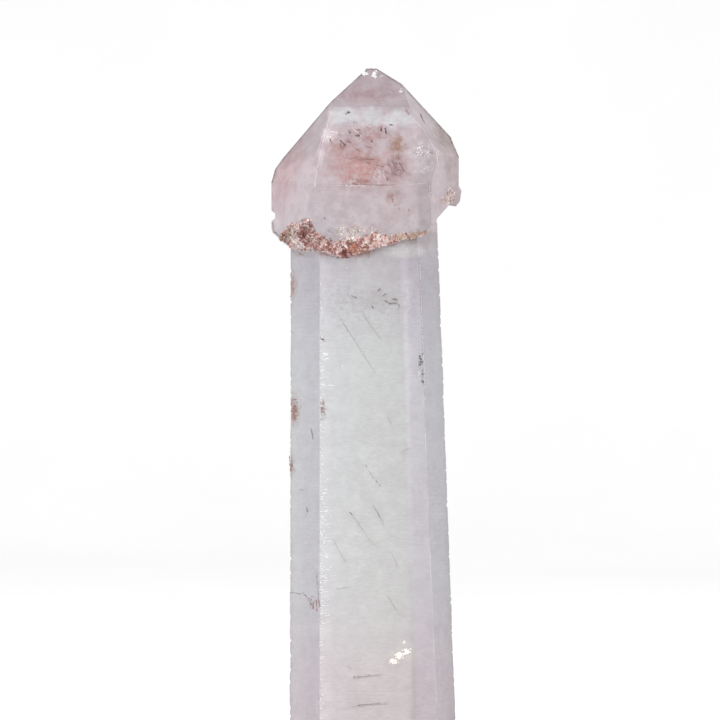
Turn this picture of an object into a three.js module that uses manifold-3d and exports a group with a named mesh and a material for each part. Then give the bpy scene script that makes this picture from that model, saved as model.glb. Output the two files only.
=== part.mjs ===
// A quartz sceptre: a long flattened six-sided stem that carries a wider six-sided head with a pointed top,
// grown over its upper end, with a rough crust of small crystals under the head's rim.
// Millimetres. +Z is the length of the crystal, -Y is the broad front face, +X is the right hand side.
import * as THREE from "three";
import { mergeVertices } from "three/addons/utils/BufferGeometryUtils.js";
import Module from "manifold-3d";

const wasm = await Module();
wasm.setup();

// Whole crystal
const NECK_HEIGHT = 77.0; // where the stem runs into the underside of the head
const TIP_HEIGHT = 100.2;
const GROWTH_SEED = 71;

// The stem's six faces: direction outwards, distance from the axis at the neck, and how far each leans out
// towards the foot, in millimetres for each millimetre of height.
const STEM_FACES = [
  { azimuth: -90, distance: 5.72, flare: 0.0 },
  { azimuth: -30, distance: 8.44, flare: 0.0353 },
  { azimuth: 30, distance: 7.48, flare: 0.0286 },
  { azimuth: 90, distance: 5.76, flare: 0.04 },
  { azimuth: 150, distance: 9.3, flare: 0.004 },
  { azimuth: 210, distance: 8.27, flare: 0.0 },
];
const STEM_TOP = 84.0; // hidden inside the head
const STEM_BANDS = 34; // growth bands, each a little wider or narrower than the next
const BAND_STEP = 0.11; // most that a band stands back from the full width
const LEDGE_HEIGHT = 0.12; // height of the sloping ledge between two bands
const PLAIN_FOOT = 1.2; // lowest part, left without ledges

// The head's upright faces: distance from the same axis.
const HEAD_SIDES = [
  { azimuth: -90, distance: 7.8 },
  { azimuth: -30, distance: 10.99 },
  { azimuth: 30, distance: 9.49 },
  { azimuth: 90, distance: 8.84 },
  { azimuth: 150, distance: 11.3 },
  { azimuth: 210, distance: 10.54 },
];
// The head's sloping upper faces: steepness above level, and one height at which the face is that far out.
const HEAD_SLOPES = [
  { azimuth: -90, steepness: 67.7, height: 84.9, distance: 7.8 },
  { azimuth: -30, steepness: 55.1, height: 88.6, distance: 10.99 },
  { azimuth: 30, steepness: 47.4, height: 91.3, distance: 9.49 },
  { azimuth: 90, steepness: 61.0, height: 85.4, distance: 8.84 },
  { azimuth: 150, steepness: 51.8, height: 87.1, distance: 11.3 },
  { azimuth: 210, steepness: 65.0, height: 85.3, distance: 10.54 },
  // narrow faces that cut the left and right corners of the head
  { azimuth: 0, steepness: 62.0, height: 89.4, distance: 11.83 },
  { azimuth: 180, steepness: 74.0, height: 85.4, distance: 12.61 },
  { azimuth: 180, steepness: 48.8, height: 95.7, distance: 4.81 },
  // flatter faces of the tip
  { azimuth: -90, steepness: 50.5, height: 95.0, distance: 3.64 },
  { azimuth: 180, steepness: 43.7, height: 95.7, distance: 4.81 },
  { azimuth: 0, steepness: 33.0, height: 98.7, distance: 3.51 },
  { azimuth: 75, steepness: 8.0, height: TIP_HEIGHT, distance: 0.6 },
];
// The head's underside: faces that turn in below the upright ones, then two planes that meet in a low line
// and rise to the left and to the right, and a steeper one under the right hand corner.
const HEAD_UNDERCUTS = [
  { azimuth: -90, steepness: 52, height: 77.9, distance: 7.8 },
  { azimuth: 0, steepness: 49, height: 83.8, distance: 11.83 },
  { azimuth: 90, steepness: 47, height: 78.8, distance: 8.84 },
  { azimuth: 150, steepness: 45, height: 78.9, distance: 11.3 },
  { azimuth: 210, steepness: 46, height: 78.9, distance: 10.54 },
];
const KEEL_X = -2.9;
const KEEL_HEIGHT = 75.35;
const KEEL_RISE_LEFT = 9; // degrees
const KEEL_RISE_RIGHT = 17;

// The small side crystal at the head's right hand lower corner
const SIDE_CRYSTAL = { x: 10.35, y: -1.5, foot: 82.3, shoulder: 84.4, radius: 1.5, tilt: 9 };

// The notch in the left hand corner, above the crust
const NOTCH = { x: -12.75, y: -1.6, height: 80.9, width: 1.5, depth: 0.62, length: 6.5 };

// Crust under the rim: flat-faced lumps
const CRUST_LUMPS = 170;
const LUMP_SMALLEST = 0.45;
const LUMP_LARGEST = 1.15;
const LUMP_LARGEST_RIGHT = 0.6; // under the right hand corner, where the crust is thin
const LUMP_FACES = 9;
const CRUST_PATCH_LUMPS = 34; // the thick patch on the left of the front

// Shallow chips in the stem's edges and faces: centre and half size
const CHIPS = [
  { x: 4.6, y: -5.9, z: 24.0, size: 1.1 },
  { x: -6.3, y: -5.8, z: 55.2, size: 0.42 },
  { x: -6.2, y: -5.8, z: 48.3, size: 0.34 },
  { x: -6.1, y: -5.8, z: 41.5, size: 0.4 },
  { x: -6.4, y: -5.8, z: 30.4, size: 0.5 },
  { x: 7.3, y: -5.75, z: 60.8, size: 0.5 },
  { x: -10.3, y: 1.0, z: 55.0, size: 0.6 },
  { x: -10.3, y: 1.0, z: 47.2, size: 0.45 },
  { x: 11.1, y: -1.1, z: 36.0, size: 0.5 },
];

const DEGREE = Math.PI / 180;

// Repeatable numbers between 0 and 1.
function numberSource(seed) {
  let state = seed;
  return () => {
    state = (state + 0x6d2b79f5) | 0;
    let t = Math.imul(state ^ (state >>> 15), 1 | state);
    t = (t + Math.imul(t ^ (t >>> 7), 61 | t)) ^ t;
    return ((t ^ (t >>> 14)) >>> 0) / 4294967296;
  };
}

// The plane of an upright or sloping face. The steepness is 90 for an upright face, and the face leans in
// with height; a face with under set leans in as it goes down.
function facePlane({ azimuth, distance, steepness = 90, height = 0, under = false }) {
  const out = new THREE.Vector3(Math.cos(azimuth * DEGREE), Math.sin(azimuth * DEGREE), 0);
  const point = out.clone().multiplyScalar(distance);
  point.z = height;
  const normal = out.multiplyScalar(Math.sin(steepness * DEGREE));
  normal.z = Math.cos(steepness * DEGREE) * (under ? -1 : 1);
  return new THREE.Plane().setFromNormalAndCoplanarPoint(normal, point);
}

function pointOfThree(a, b, c) {
  const bc = b.normal.clone().cross(c.normal);
  const volume = a.normal.dot(bc);
  if (Math.abs(volume) < 1e-7) return null;
  const ca = c.normal.clone().cross(a.normal);
  const ab = a.normal.clone().cross(b.normal);
  return bc
    .multiplyScalar(-a.constant)
    .addScaledVector(ca, -b.constant)
    .addScaledVector(ab, -c.constant)
    .divideScalar(volume);
}

// The solid behind all of the given planes, with one flat polygon for each face.
function facetedSolid(planes) {
  const corners = [];
  for (let i = 0; i < planes.length; i++) {
    for (let j = i + 1; j < planes.length; j++) {
      for (let k = j + 1; k < planes.length; k++) {
        const p = pointOfThree(planes[i], planes[j], planes[k]);
        const inside = p && planes.every((plane) => plane.distanceToPoint(p) < 1e-6);
        if (inside && !corners.some((q) => q.distanceTo(p) < 1e-5)) corners.push(p);
      }
    }
  }
  const centre = new THREE.Vector3();
  for (const p of corners) centre.addScaledVector(p, 1 / corners.length);
  const index = [];
  for (const plane of planes) {
    const on = corners.map((p, i) => i).filter((i) => Math.abs(plane.distanceToPoint(corners[i])) < 1e-5);
    if (on.length < 3) continue;
    const middle = new THREE.Vector3();
    for (const i of on) middle.addScaledVector(corners[i], 1 / on.length);
    const u = corners[on[0]].clone().sub(middle).normalize();
    const v = plane.normal.clone().cross(u);
    const angle = (i) => {
      const arm = corners[i].clone().sub(middle);
      return Math.atan2(arm.dot(v), arm.dot(u));
    };
    on.sort((a, b) => angle(a) - angle(b));
    for (let i = 1; i + 1 < on.length; i++) index.push(on[0], on[i], on[i + 1]);
  }
  return solidFrom(corners, index);
}

function solidFrom(points, index) {
  const vertProperties = new Float32Array(points.flatMap((p) => [p.x, p.y, p.z]));
  return new wasm.Manifold(new wasm.Mesh({ numProp: 3, vertProperties, triVerts: new Uint32Array(index) }));
}

// The six corners of the stem at a height, with each face set back by its own amount.
function stemRing(height, setBacks) {
  const below = NECK_HEIGHT - height;
  const reach = STEM_FACES.map((face, i) => face.distance + face.flare * below - setBacks[i]);
  return STEM_FACES.map((face, i) => {
    const next = (i + 1) % STEM_FACES.length;
    const a = face.azimuth * DEGREE;
    const b = STEM_FACES[next].azimuth * DEGREE;
    const turn = Math.sin(b - a);
    const x = (reach[i] * Math.sin(b) - reach[next] * Math.sin(a)) / turn;
    const y = (reach[next] * Math.cos(a) - reach[i] * Math.cos(b)) / turn;
    return new THREE.Vector3(x, y, height);
  });
}

// Joins rings of equal corner counts, lowest first, into one closed solid.
function loft(rings) {
  const count = rings[0].length;
  const index = [];
  for (let i = 1; i + 1 < count; i++) index.push(0, i + 1, i);
  for (let r = 0; r + 1 < rings.length; r++) {
    for (let i = 0; i < count; i++) {
      const a = r * count + i;
      const b = r * count + ((i + 1) % count);
      index.push(a, b, b + count, a, b + count, a + count);
    }
  }
  const top = (rings.length - 1) * count;
  for (let i = 1; i + 1 < count; i++) index.push(top, top + i, top + i + 1);
  return solidFrom(rings.flat(), index);
}

// The stem, built up in growth bands with a small ledge between each and the next.
function makeStem(random) {
  const rings = [];
  let foot = 0;
  for (let band = 0; band < STEM_BANDS; band++) {
    const share = (band + 1 + (random() - 0.5) * 0.7) / STEM_BANDS;
    const top = band === STEM_BANDS - 1 ? STEM_TOP : PLAIN_FOOT + share * (STEM_TOP - PLAIN_FOOT);
    const setBacks = STEM_FACES.map(() => (band === 0 ? 0 : random() * BAND_STEP));
    rings.push(stemRing(foot, setBacks), stemRing(top, setBacks));
    foot = top + LEDGE_HEIGHT;
  }
  return loft(rings);
}

function makeHead() {
  const keel = new THREE.Vector3(KEEL_X, 0, KEEL_HEIGHT);
  const keelPlane = (degrees) => {
    const normal = new THREE.Vector3(Math.sin(degrees * DEGREE), 0, -Math.cos(degrees * DEGREE));
    return new THREE.Plane().setFromNormalAndCoplanarPoint(normal, keel);
  };
  return facetedSolid([
    ...HEAD_SIDES.map(facePlane),
    ...HEAD_SLOPES.map(facePlane),
    ...HEAD_UNDERCUTS.map((face) => facePlane({ ...face, under: true })),
    keelPlane(-KEEL_RISE_LEFT),
    keelPlane(KEEL_RISE_RIGHT),
  ]);
}

// How far a set of upright faces reaches in one direction from the axis.
function reachOf(faces, direction) {
  const reaches = faces.map((face) => {
    const turn = Math.cos((direction - face.azimuth) * DEGREE);
    return turn > 0.05 ? face.distance / turn : Infinity;
  });
  return Math.min(...reaches);
}

// Height of the middle of the head's underside, measured along the width.
function rimHeight(x) {
  const left = KEEL_HEIGHT + (KEEL_X - x) * Math.tan(KEEL_RISE_LEFT * DEGREE);
  const right = KEEL_HEIGHT + (x - KEEL_X) * Math.tan(KEEL_RISE_RIGHT * DEGREE);
  const corner = HEAD_UNDERCUTS.find((face) => face.azimuth === 0);
  const lifted = corner.height - (corner.distance - x) * Math.tan(corner.steepness * DEGREE) - 1.9;
  return Math.max(left, right, lifted);
}

// A lump with flat faces at nearly even directions, centred on a point.
function makeLump(centre, size, random) {
  const golden = Math.PI * (3 - Math.sqrt(5));
  const spin = random() * Math.PI * 2;
  const planes = [];
  for (let i = 0; i < LUMP_FACES; i++) {
    const z = 1 - (2 * (i + 0.5)) / LUMP_FACES;
    const ring = Math.sqrt(1 - z * z);
    const normal = new THREE.Vector3(
      ring * Math.cos(golden * i + spin) + (random() - 0.5) * 0.35,
      ring * Math.sin(golden * i + spin) + (random() - 0.5) * 0.35,
      z,
    ).normalize();
    planes.push(new THREE.Plane(normal, -size * (0.75 + 0.35 * random())));
  }
  return facetedSolid(planes).translate([centre.x, centre.y, centre.z]);
}

// Lumps all the way round under the rim, and a thicker patch on the left of the front.
function makeCrust(random) {
  const lumps = [];
  const addLump = (direction, size, outward, lift) => {
    const inner = reachOf(STEM_FACES, direction) + 0.1;
    const outer = reachOf(HEAD_SIDES, direction) - 0.7 * size;
    const reach = inner + (outer - inner) * outward;
    const x = reach * Math.cos(direction * DEGREE);
    const y = reach * Math.sin(direction * DEGREE);
    const z = rimHeight(x) + 0.2 + 1.9 * outward + lift;
    lumps.push(makeLump(new THREE.Vector3(x, y, z), size, random));
  };
  for (let i = 0; i < CRUST_LUMPS; i++) {
    const direction = (360 * (i + random() * 0.8)) / CRUST_LUMPS;
    const largest = Math.cos(direction * DEGREE) > 0.75 ? LUMP_LARGEST_RIGHT : LUMP_LARGEST;
    const size = LUMP_SMALLEST + (largest - LUMP_SMALLEST) * random() ** 1.6;
    addLump(direction, size, random(), 0.3 * random());
  }
  for (let i = 0; i < CRUST_PATCH_LUMPS; i++) {
    const direction = 188 + 52 * ((i + random()) / CRUST_PATCH_LUMPS);
    const size = LUMP_SMALLEST + (LUMP_LARGEST - LUMP_SMALLEST) * random();
    addLump(direction, size, 1, 1.7 * random() - 0.5);
  }
  return lumps;
}

// A short six-sided crystal with a pointed top.
function makeSideCrystal() {
  const { x, y, foot, shoulder, radius, tilt } = SIDE_CRYSTAL;
  const planes = [new THREE.Plane(new THREE.Vector3(0, 0, -1), 0)];
  for (let azimuth = 0; azimuth < 360; azimuth += 60) {
    planes.push(facePlane({ azimuth, distance: radius }));
    planes.push(facePlane({ azimuth, distance: radius, steepness: 52, height: shoulder - foot }));
    planes.push(facePlane({ azimuth, distance: radius, steepness: 60, height: 0.7, under: true }));
  }
  return facetedSolid(planes).rotate([0, tilt, 0]).translate([x, y, foot]);
}

// A wedge that is taken out of the left hand corner of the head.
function makeNotch() {
  const { x, y, height, width, depth, length } = NOTCH;
  const points = [];
  for (const end of [-length / 2, length / 2]) {
    points.push(new THREE.Vector3(x + depth, y + end, height));
    points.push(new THREE.Vector3(x - depth, y + end, height + width));
    points.push(new THREE.Vector3(x - depth, y + end, height - width));
  }
  return solidFrom(points, [0, 1, 2, 3, 5, 4, 0, 3, 4, 0, 4, 1, 1, 4, 5, 1, 5, 2, 2, 5, 3, 2, 3, 0]);
}

const random = numberSource(GROWTH_SEED);
let crystal = makeStem(random).add(makeHead()).add(makeSideCrystal()).subtract(makeNotch());
for (const lump of makeCrust(random)) crystal = crystal.add(lump);
for (const chip of CHIPS) {
  crystal = crystal.subtract(makeLump(new THREE.Vector3(chip.x, chip.y, chip.z), chip.size * 0.6, random));
}
// Small hollows sealed in between lumps are filled: only the outer skin is kept.
crystal = crystal.decompose().reduce((a, b) => (a.volume() > b.volume() ? a : b));

const mesh = crystal.getMesh();
let geometry = new THREE.BufferGeometry();
geometry.setAttribute("position", new THREE.BufferAttribute(new Float32Array(mesh.vertProperties), 3));
geometry.setIndex(new THREE.BufferAttribute(new Uint32Array(mesh.triVerts), 1));
geometry = mergeVertices(geometry, 1e-4);

// The origin is in the middle of the crystal's extent, on the flat cut foot.
geometry.computeBoundingBox();
const extent = geometry.boundingBox;
geometry.translate(-(extent.min.x + extent.max.x) / 2, -(extent.min.y + extent.max.y) / 2, -extent.min.z);
geometry.computeVertexNormals();

const quartz = new THREE.Mesh(
  geometry,
  new THREE.MeshStandardMaterial({ color: "#d6d0d4", roughness: 0.18, metalness: 0 }),
);
quartz.name = "quartz_sceptre";

const part = new THREE.Group();
part.add(quartz);
export default part;
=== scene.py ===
import itertools
import math

import bmesh
import bpy
import numpy as np
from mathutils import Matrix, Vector


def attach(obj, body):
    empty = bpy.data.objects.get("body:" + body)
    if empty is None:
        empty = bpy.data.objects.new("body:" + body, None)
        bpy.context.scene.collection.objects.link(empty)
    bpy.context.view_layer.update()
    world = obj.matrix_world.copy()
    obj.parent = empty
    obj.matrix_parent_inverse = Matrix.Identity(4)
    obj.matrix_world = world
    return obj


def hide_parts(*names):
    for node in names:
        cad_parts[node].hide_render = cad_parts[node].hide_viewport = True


# A quartz sceptre on a plain pale floor: clear stem and head, a rust-stained crust under the head's rim, and
# flakes, hairline cracks and marks inside and on its skin. Sizes are in millimetres until a mesh is made.

MM = 0.001
NODE = "quartz_sceptre"
SEED = 71
# The crystal's axis, counted from the middle of its width and depth
AXIS_X = 0.240
AXIS_Y = -0.380
AXIS = np.array([AXIS_X, AXIS_Y, 0.0])

# Direction outwards in degrees, distance from the axis at the neck, widening for each mm down
STEM_FACES = [
    (-90, 5.72, 0.0),
    (-30, 8.44, 0.0353),
    (30, 7.48, 0.0286),
    (90, 5.76, 0.04),
    (150, 9.30, 0.004),
    (210, 8.27, 0.0),
]
NECK_HEIGHT = 77.0  # where the stem runs into the underside of the head
STEM_TOP = 84.0  # hidden inside the head
RING_STEP = 0.13
STEM_BANDS = 34
BAND_STEP = 0.11  # most that a growth band stands back from the full width
LEDGE_SOFTNESS = 15  # rings over which one band passes into the next
PLAIN_FOOT = 1.2  # lowest part, without bands
LINES_FOOT = 0.6  # where the growth lines begin
LINES_FADE = 1.5  # height over which they reach their full depth
LINE_DEPTH = 0.03
WAVE_DEPTH = 0.02
# Columns of points across a stem face: those near a corner, then the margin and the step of the rest
CORNER_COLUMNS = (0.14, 0.32)
FACE_MARGIN = 0.55
COLUMN_STEP = 0.36
# Chips along each of the stem's corners: spacing, deepest, lowest and highest height
CORNER_CHIPS = [
    (0.9, 0.05, 2, 74),
    (1.2, 0.12, 2, 80),
    (1.8, 0.15, 2, 74),
    (2.2, 0.15, 2, 74),
    (1.3, 0.12, 2, 74),
    (0.55, 0.16, 3, 74),
]
CHIP_REACH = 0.4  # how far a chip runs in from its corner
WORN_DEPTH = 0.05  # a chip deeper than this is frosted
EDGE_WIDTH = 0.12  # rounding of the head's edges
SHARP_ANGLE = 24  # faces that meet at more than this, in degrees, keep a sharp edge

# Direction, distance from the axis
HEAD_SIDES = [(-90, 7.80), (-30, 10.99), (30, 9.49), (90, 8.84), (150, 11.30), (210, 10.54)]
# Direction, steepness above level, height, distance at that height
HEAD_SLOPES = [
    (-90, 67.7, 84.9, 7.80),
    (-30, 55.1, 88.6, 10.99),
    (30, 47.4, 91.3, 9.49),
    (90, 61.0, 85.4, 8.84),
    (150, 51.8, 87.1, 11.30),
    (210, 65.0, 85.3, 10.54),
    (0, 62.0, 89.4, 11.83),
    (180, 74.0, 85.4, 12.61),
    (180, 48.8, 95.7, 4.81),
    (-90, 50.5, 95.0, 3.64),
    (180, 43.7, 95.7, 4.81),
    (0, 33.0, 98.7, 3.51),
    (75, 8.0, 100.2, 0.60),
]
# The same for the faces that turn in below the rim
HEAD_UNDERCUTS = [
    (-90, 52, 77.9, 7.80),
    (0, 49, 83.8, 11.83),
    (90, 47, 78.8, 8.84),
    (150, 45, 78.9, 11.30),
    (210, 46, 78.9, 10.54),
    (180, 72, 79.3, 12.61),
]
# The underside's low line, and how steeply it rises to each side, in degrees
KEEL_X = -2.9
KEEL_HEIGHT = 75.35
KEEL_RISE_LEFT = 9
KEEL_RISE_RIGHT = 17

# A dent in the head's left edge: its outline from the front, its front and its back
NOTCH_OUTLINE = [(-12.13, 81.3), (-13.37, 82.1), (-13.37, 79.5), (-12.13, 80.65)]
NOTCH_FRONT = -4.85
NOTCH_BACK = 1.65

# The small side crystal at the head's right: the middle of its base, its half width, the heights above the base
# where its upright faces end and begin, the steepness of its upper and lower faces, and its lean to the right
SIDE_PLACE = np.array([10.35, -1.5, 82.3])
SIDE_RADIUS = 1.5
SIDE_SHOULDER = 2.1
SIDE_WAIST = 0.7
SIDE_SLOPE = 52
SIDE_UNDERCUT = 60
SIDE_TILT = 9

# The picture's frame: millimetres for each of its 720 columns, the column of x = 0 and the row of the foot
SCALE = 0.13
CENTRE_COLUMN = 366.15
FOOT_ROW = 838

rng = np.random.default_rng(SEED)


# Solids from flat faces

def facing(direction):
    """Level unit vector in a direction given in degrees."""
    a = math.radians(direction)
    return np.array([math.cos(a), math.sin(a), 0.0])


def face_plane(direction, steepness, height, distance, under=False):
    """Outward normal and a point of one crystal face."""
    s = math.radians(steepness)
    point = facing(direction) * distance
    point[2] = height
    normal = facing(direction) * math.sin(s)
    normal[2] = -math.cos(s) if under else math.cos(s)
    return normal, point


def faceted_polygons(planes):
    """Corners and flat polygons of the solid that lies behind all of the planes."""
    normals = np.array([n for n, p in planes])
    offsets = np.array([n @ p for n, p in planes])
    corners = []
    for three in map(list, itertools.combinations(range(len(planes)), 3)):
        if abs(np.linalg.det(normals[three])) < 1e-7:
            continue
        p = np.linalg.solve(normals[three], offsets[three])
        if (normals @ p - offsets).max() > 1e-6:
            continue
        if all(np.abs(p - q).max() > 1e-5 for q in corners):
            corners.append(p)
    corners = np.array(corners)
    polygons = []
    for n, d in zip(normals, offsets):
        on = np.where(np.abs(corners @ n - d) < 1e-5)[0]
        if len(on) < 3:
            continue
        middle = corners[on].mean(axis=0)
        u = corners[on[0]] - middle
        u = u / np.linalg.norm(u)
        v = np.cross(n, u)
        turn = np.arctan2((corners[on] - middle) @ v, (corners[on] - middle) @ u)
        polygons.append([int(i) for i in on[np.argsort(turn)]])
    return corners, polygons


def make_object(name, corners, polygons, smooth_angle=None, materials=()):
    mesh = bpy.data.meshes.new(name)
    mesh.from_pydata((np.asarray(corners) * MM).tolist(), [], polygons)
    for material in materials:
        mesh.materials.append(material)
    obj = bpy.data.objects.new(name, mesh)
    bpy.context.scene.collection.objects.link(obj)
    if smooth_angle is not None:
        mesh.shade_smooth()
        mesh.set_sharp_from_angle(angle=math.radians(smooth_angle))
    return obj


def bevelled(obj, width):
    bm = bmesh.new()
    bm.from_mesh(obj.data)
    bmesh.ops.bevel(
        bm, geom=bm.edges[:], offset=width * MM, segments=2, profile=0.6, affect="EDGES", clamp_overlap=True,
    )
    bmesh.ops.recalc_face_normals(bm, faces=bm.faces)
    bm.to_mesh(obj.data)
    bm.free()


def combine(obj, other, operation):
    """Joins or cuts obj with other, keeps the result in obj and removes other."""
    modifier = obj.modifiers.new("join", "BOOLEAN")
    modifier.operation = operation
    modifier.solver = "EXACT"
    modifier.object = other
    depsgraph = bpy.context.evaluated_depsgraph_get()
    mesh = bpy.data.meshes.new_from_object(obj.evaluated_get(depsgraph))
    obj.modifiers.clear()
    obj.data = mesh
    bpy.data.objects.remove(other)


# The stem: fine growth lines across each face, and small chips along the corners

def smooth_noise(rows, columns, cell_rows, cell_columns):
    """Value noise from 0 to 1 on a grid, one random value for each cell corner."""
    coarse_rows = max(2, int(rows / cell_rows) + 2)
    coarse_columns = max(2, int(columns / cell_columns) + 2)
    coarse = rng.random((coarse_rows, coarse_columns))
    r = np.linspace(0, coarse_rows - 1.001, rows)
    c = np.linspace(0, coarse_columns - 1.001, columns)
    r0 = r.astype(int)
    c0 = c.astype(int)
    fr = r - r0
    fc = c - c0
    fr = (fr * fr * (3 - 2 * fr))[:, None]
    fc = (fc * fc * (3 - 2 * fc))[None, :]
    a = coarse[r0][:, c0]
    b = coarse[r0][:, c0 + 1]
    d = coarse[r0 + 1][:, c0]
    e = coarse[r0 + 1][:, c0 + 1]
    return (a * (1 - fc) + b * fc) * (1 - fr) + (d * (1 - fc) + e * fc) * fr


def ring_corners(heights, set_backs):
    """Corner between each stem face and the next, for every height."""
    full = [distance + flare * (NECK_HEIGHT - heights) for _, distance, flare in STEM_FACES]
    reach = np.array(full) - set_backs
    corners = []
    for i in range(6):
        j = (i + 1) % 6
        a = math.radians(STEM_FACES[i][0])
        b = math.radians(STEM_FACES[j][0])
        turn = math.sin(b - a)
        x = (reach[i] * math.sin(b) - reach[j] * math.sin(a)) / turn
        y = (reach[j] * math.cos(a) - reach[i] * math.cos(b)) / turn
        corners.append(np.stack([x, y, heights], axis=1))
    return corners


def chip_profile(heights, spacing, deepest, lowest, highest):
    """Depth of a chain of small notches along a corner."""
    depth = np.zeros_like(heights)
    z = lowest
    while z < highest:
        z += spacing * (0.5 + rng.random())
        half = 0.12 + 0.2 * rng.random()
        size = deepest * rng.random() ** 1.5
        depth = np.maximum(depth, size * np.clip(1 - np.abs(heights - z) / half, 0, 1))
    return depth


def make_stem():
    rows = int(STEM_TOP / RING_STEP)
    heights = np.linspace(0, STEM_TOP, rows)
    band_edges = np.sort(rng.random(STEM_BANDS)) * STEM_TOP
    band = np.searchsorted(band_edges, heights)
    set_backs = rng.random((6, STEM_BANDS + 1))[:, band] * BAND_STEP
    set_backs[:, heights < PLAIN_FOOT] = 0.0
    soften = np.hanning(LEDGE_SOFTNESS + 2)[1:-1]
    soften = soften / soften.sum()
    for i in range(6):
        set_backs[i] = np.convolve(np.pad(set_backs[i], LEDGE_SOFTNESS // 2, "edge"), soften, "valid")
    corners = ring_corners(heights, set_backs)
    chips = [chip_profile(heights, *chain) for chain in CORNER_CHIPS]
    lines_depth = (np.clip((heights - LINES_FOOT) / LINES_FADE, 0, 1))[:, None]
    columns = []
    worn = []
    for i in range(6):
        start = corners[i - 1]
        end = corners[i]
        width = np.linalg.norm(end - start, axis=1).mean()
        count = max(4, int((width - 2 * FACE_MARGIN) / COLUMN_STEP))
        inner = np.linspace(FACE_MARGIN, width - FACE_MARGIN, count)
        last = [width - column for column in reversed(CORNER_COLUMNS)]
        across = np.concatenate([[0, *CORNER_COLUMNS], inner, last]) / width
        lines = rng.random(rows) ** 2 * LINE_DEPTH
        waves = smooth_noise(rows, len(across), 5, 12) * WAVE_DEPTH
        patches = np.clip(smooth_noise(rows, len(across), 60, 8) * 2.2 - 0.7, 0, 1)
        fine = (lines[:, None] * patches + waves) * lines_depth
        from_start = across * width
        from_end = width - from_start
        near_start = np.clip(1 - from_start / CHIP_REACH, 0, 1) ** 1.5
        near_end = np.clip(1 - from_end / CHIP_REACH, 0, 1) ** 1.5
        notch = chips[i - 1][:, None] * near_start[None, :] + chips[i][:, None] * near_end[None, :]
        points = start[:, None, :] * (1 - across)[None, :, None] + end[:, None, :] * across[None, :, None]
        points = points - facing(STEM_FACES[i][0]) * (fine + notch)[:, :, None]
        # the corner itself is cut back from both of its faces
        points[:, 0, :] -= facing(STEM_FACES[i - 1][0]) * chips[i - 1][:, None]
        worn.append(notch > WORN_DEPTH)
        columns.append(points)
    grid = np.concatenate(columns, axis=1)
    grid[0, :, 2] = 0.0
    index = np.arange(grid.shape[0] * grid.shape[1]).reshape(grid.shape[:2])
    beside = np.roll(index, -1, axis=1)
    quads = np.stack([index[:-1], beside[:-1], beside[1:], index[1:]], axis=2).reshape(-1, 4).tolist()
    quads.append(index[0, ::-1].tolist())
    quads.append(index[-1].tolist())
    stem = make_object("stem", grid.reshape(-1, 3) + AXIS, quads, materials=(QUARTZ, WORN_EDGE))
    worn_quads = np.concatenate(worn, axis=1)[:-1].reshape(-1).astype(int).tolist()
    stem.data.polygons.foreach_set("material_index", worn_quads + [1, 0])
    return stem


def underside_planes():
    planes = [face_plane(*face, under=True) for face in HEAD_UNDERCUTS]
    for rise in (-KEEL_RISE_LEFT, KEEL_RISE_RIGHT):
        s = math.radians(rise)
        planes.append((np.array([math.sin(s), 0.0, -math.cos(s)]), np.array([KEEL_X, 0.0, KEEL_HEIGHT])))
    return planes


def underside_height(x, y):
    """Height of the head's underside, x and y counted from the crystal's axis."""
    return max((n @ p - n[0] * x - n[1] * y) / n[2] for n, p in underside_planes())


def head_planes():
    planes = [face_plane(d, 90, 0, r) for d, r in HEAD_SIDES]
    planes += [face_plane(*face) for face in HEAD_SLOPES]
    return planes + underside_planes()


HEAD_PLANES = head_planes()


def make_head():
    corners, polygons = faceted_polygons(HEAD_PLANES)
    head = make_object("head", corners + AXIS, polygons, materials=(QUARTZ, WORN_EDGE))
    bevelled(head, EDGE_WIDTH)
    return head


def make_notch():
    corners = [(x, y, z) for y in (NOTCH_FRONT, NOTCH_BACK) for x, z in NOTCH_OUTLINE]
    polygons = [[0, 1, 2, 3], [7, 6, 5, 4]]
    for i in range(4):
        j = (i + 1) % 4
        polygons.append([j, i, i + 4, j + 4])
    return make_object("notch", np.array(corners) + AXIS, polygons, materials=(QUARTZ,))


def make_side_crystal():
    planes = [(np.array([0.0, 0.0, -1.0]), np.zeros(3))]
    for direction in range(0, 360, 60):
        planes.append(face_plane(direction, 90, 0, SIDE_RADIUS))
        planes.append(face_plane(direction, SIDE_SLOPE, SIDE_SHOULDER, SIDE_RADIUS))
        planes.append(face_plane(direction, SIDE_UNDERCUT, SIDE_WAIST, SIDE_RADIUS, under=True))
    corners, polygons = faceted_polygons(planes)
    tilt = math.radians(SIDE_TILT)
    x = corners[:, 0] * math.cos(tilt) + corners[:, 2] * math.sin(tilt)
    z = corners[:, 2] * math.cos(tilt) - corners[:, 0] * math.sin(tilt)
    placed = np.stack([x, corners[:, 1], z], axis=1) + SIDE_PLACE + AXIS
    side = make_object("side", placed, polygons, materials=(QUARTZ, WORN_EDGE))
    bevelled(side, EDGE_WIDTH / 2)
    return side


def from_picture(column, row, depth):
    """A place seen at a column and row of the picture, at a depth in mm."""
    return np.array([(column - CENTRE_COLUMN) * SCALE, depth, (FOOT_ROW - row) * SCALE])


CRUST_BASE = 76.3  # height under which the crust lies on the stem
ON_CRYSTAL = 0.1  # most that a grain's middle stands out from the head
# Top and foot of the crust on the front: columns, and rows of the picture
CRUST_COLUMNS = (279, 285, 291, 300, 308, 312, 316, 324, 334, 345, 352, 362, 373, 380, 390, 400, 412, 426)
CRUST_TOP_ROWS = (238, 228, 223, 223, 219, 223, 232, 240, 243, 240, 239, 238, 233, 235, 238, 235, 235, 234)
CRUST_FOOT_ROWS = (240, 243, 249, 252, 251, 251, 252, 253, 255, 259, 257, 253, 250, 248, 246, 242, 240, 236)


def head_front(x, z):
    """Depth of the head's front, all counted from the crystal's axis."""
    return max((n @ p - n[0] * x - n[2] * z) / n[1] for n, p in HEAD_PLANES if n[1] < -0.01)


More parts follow.
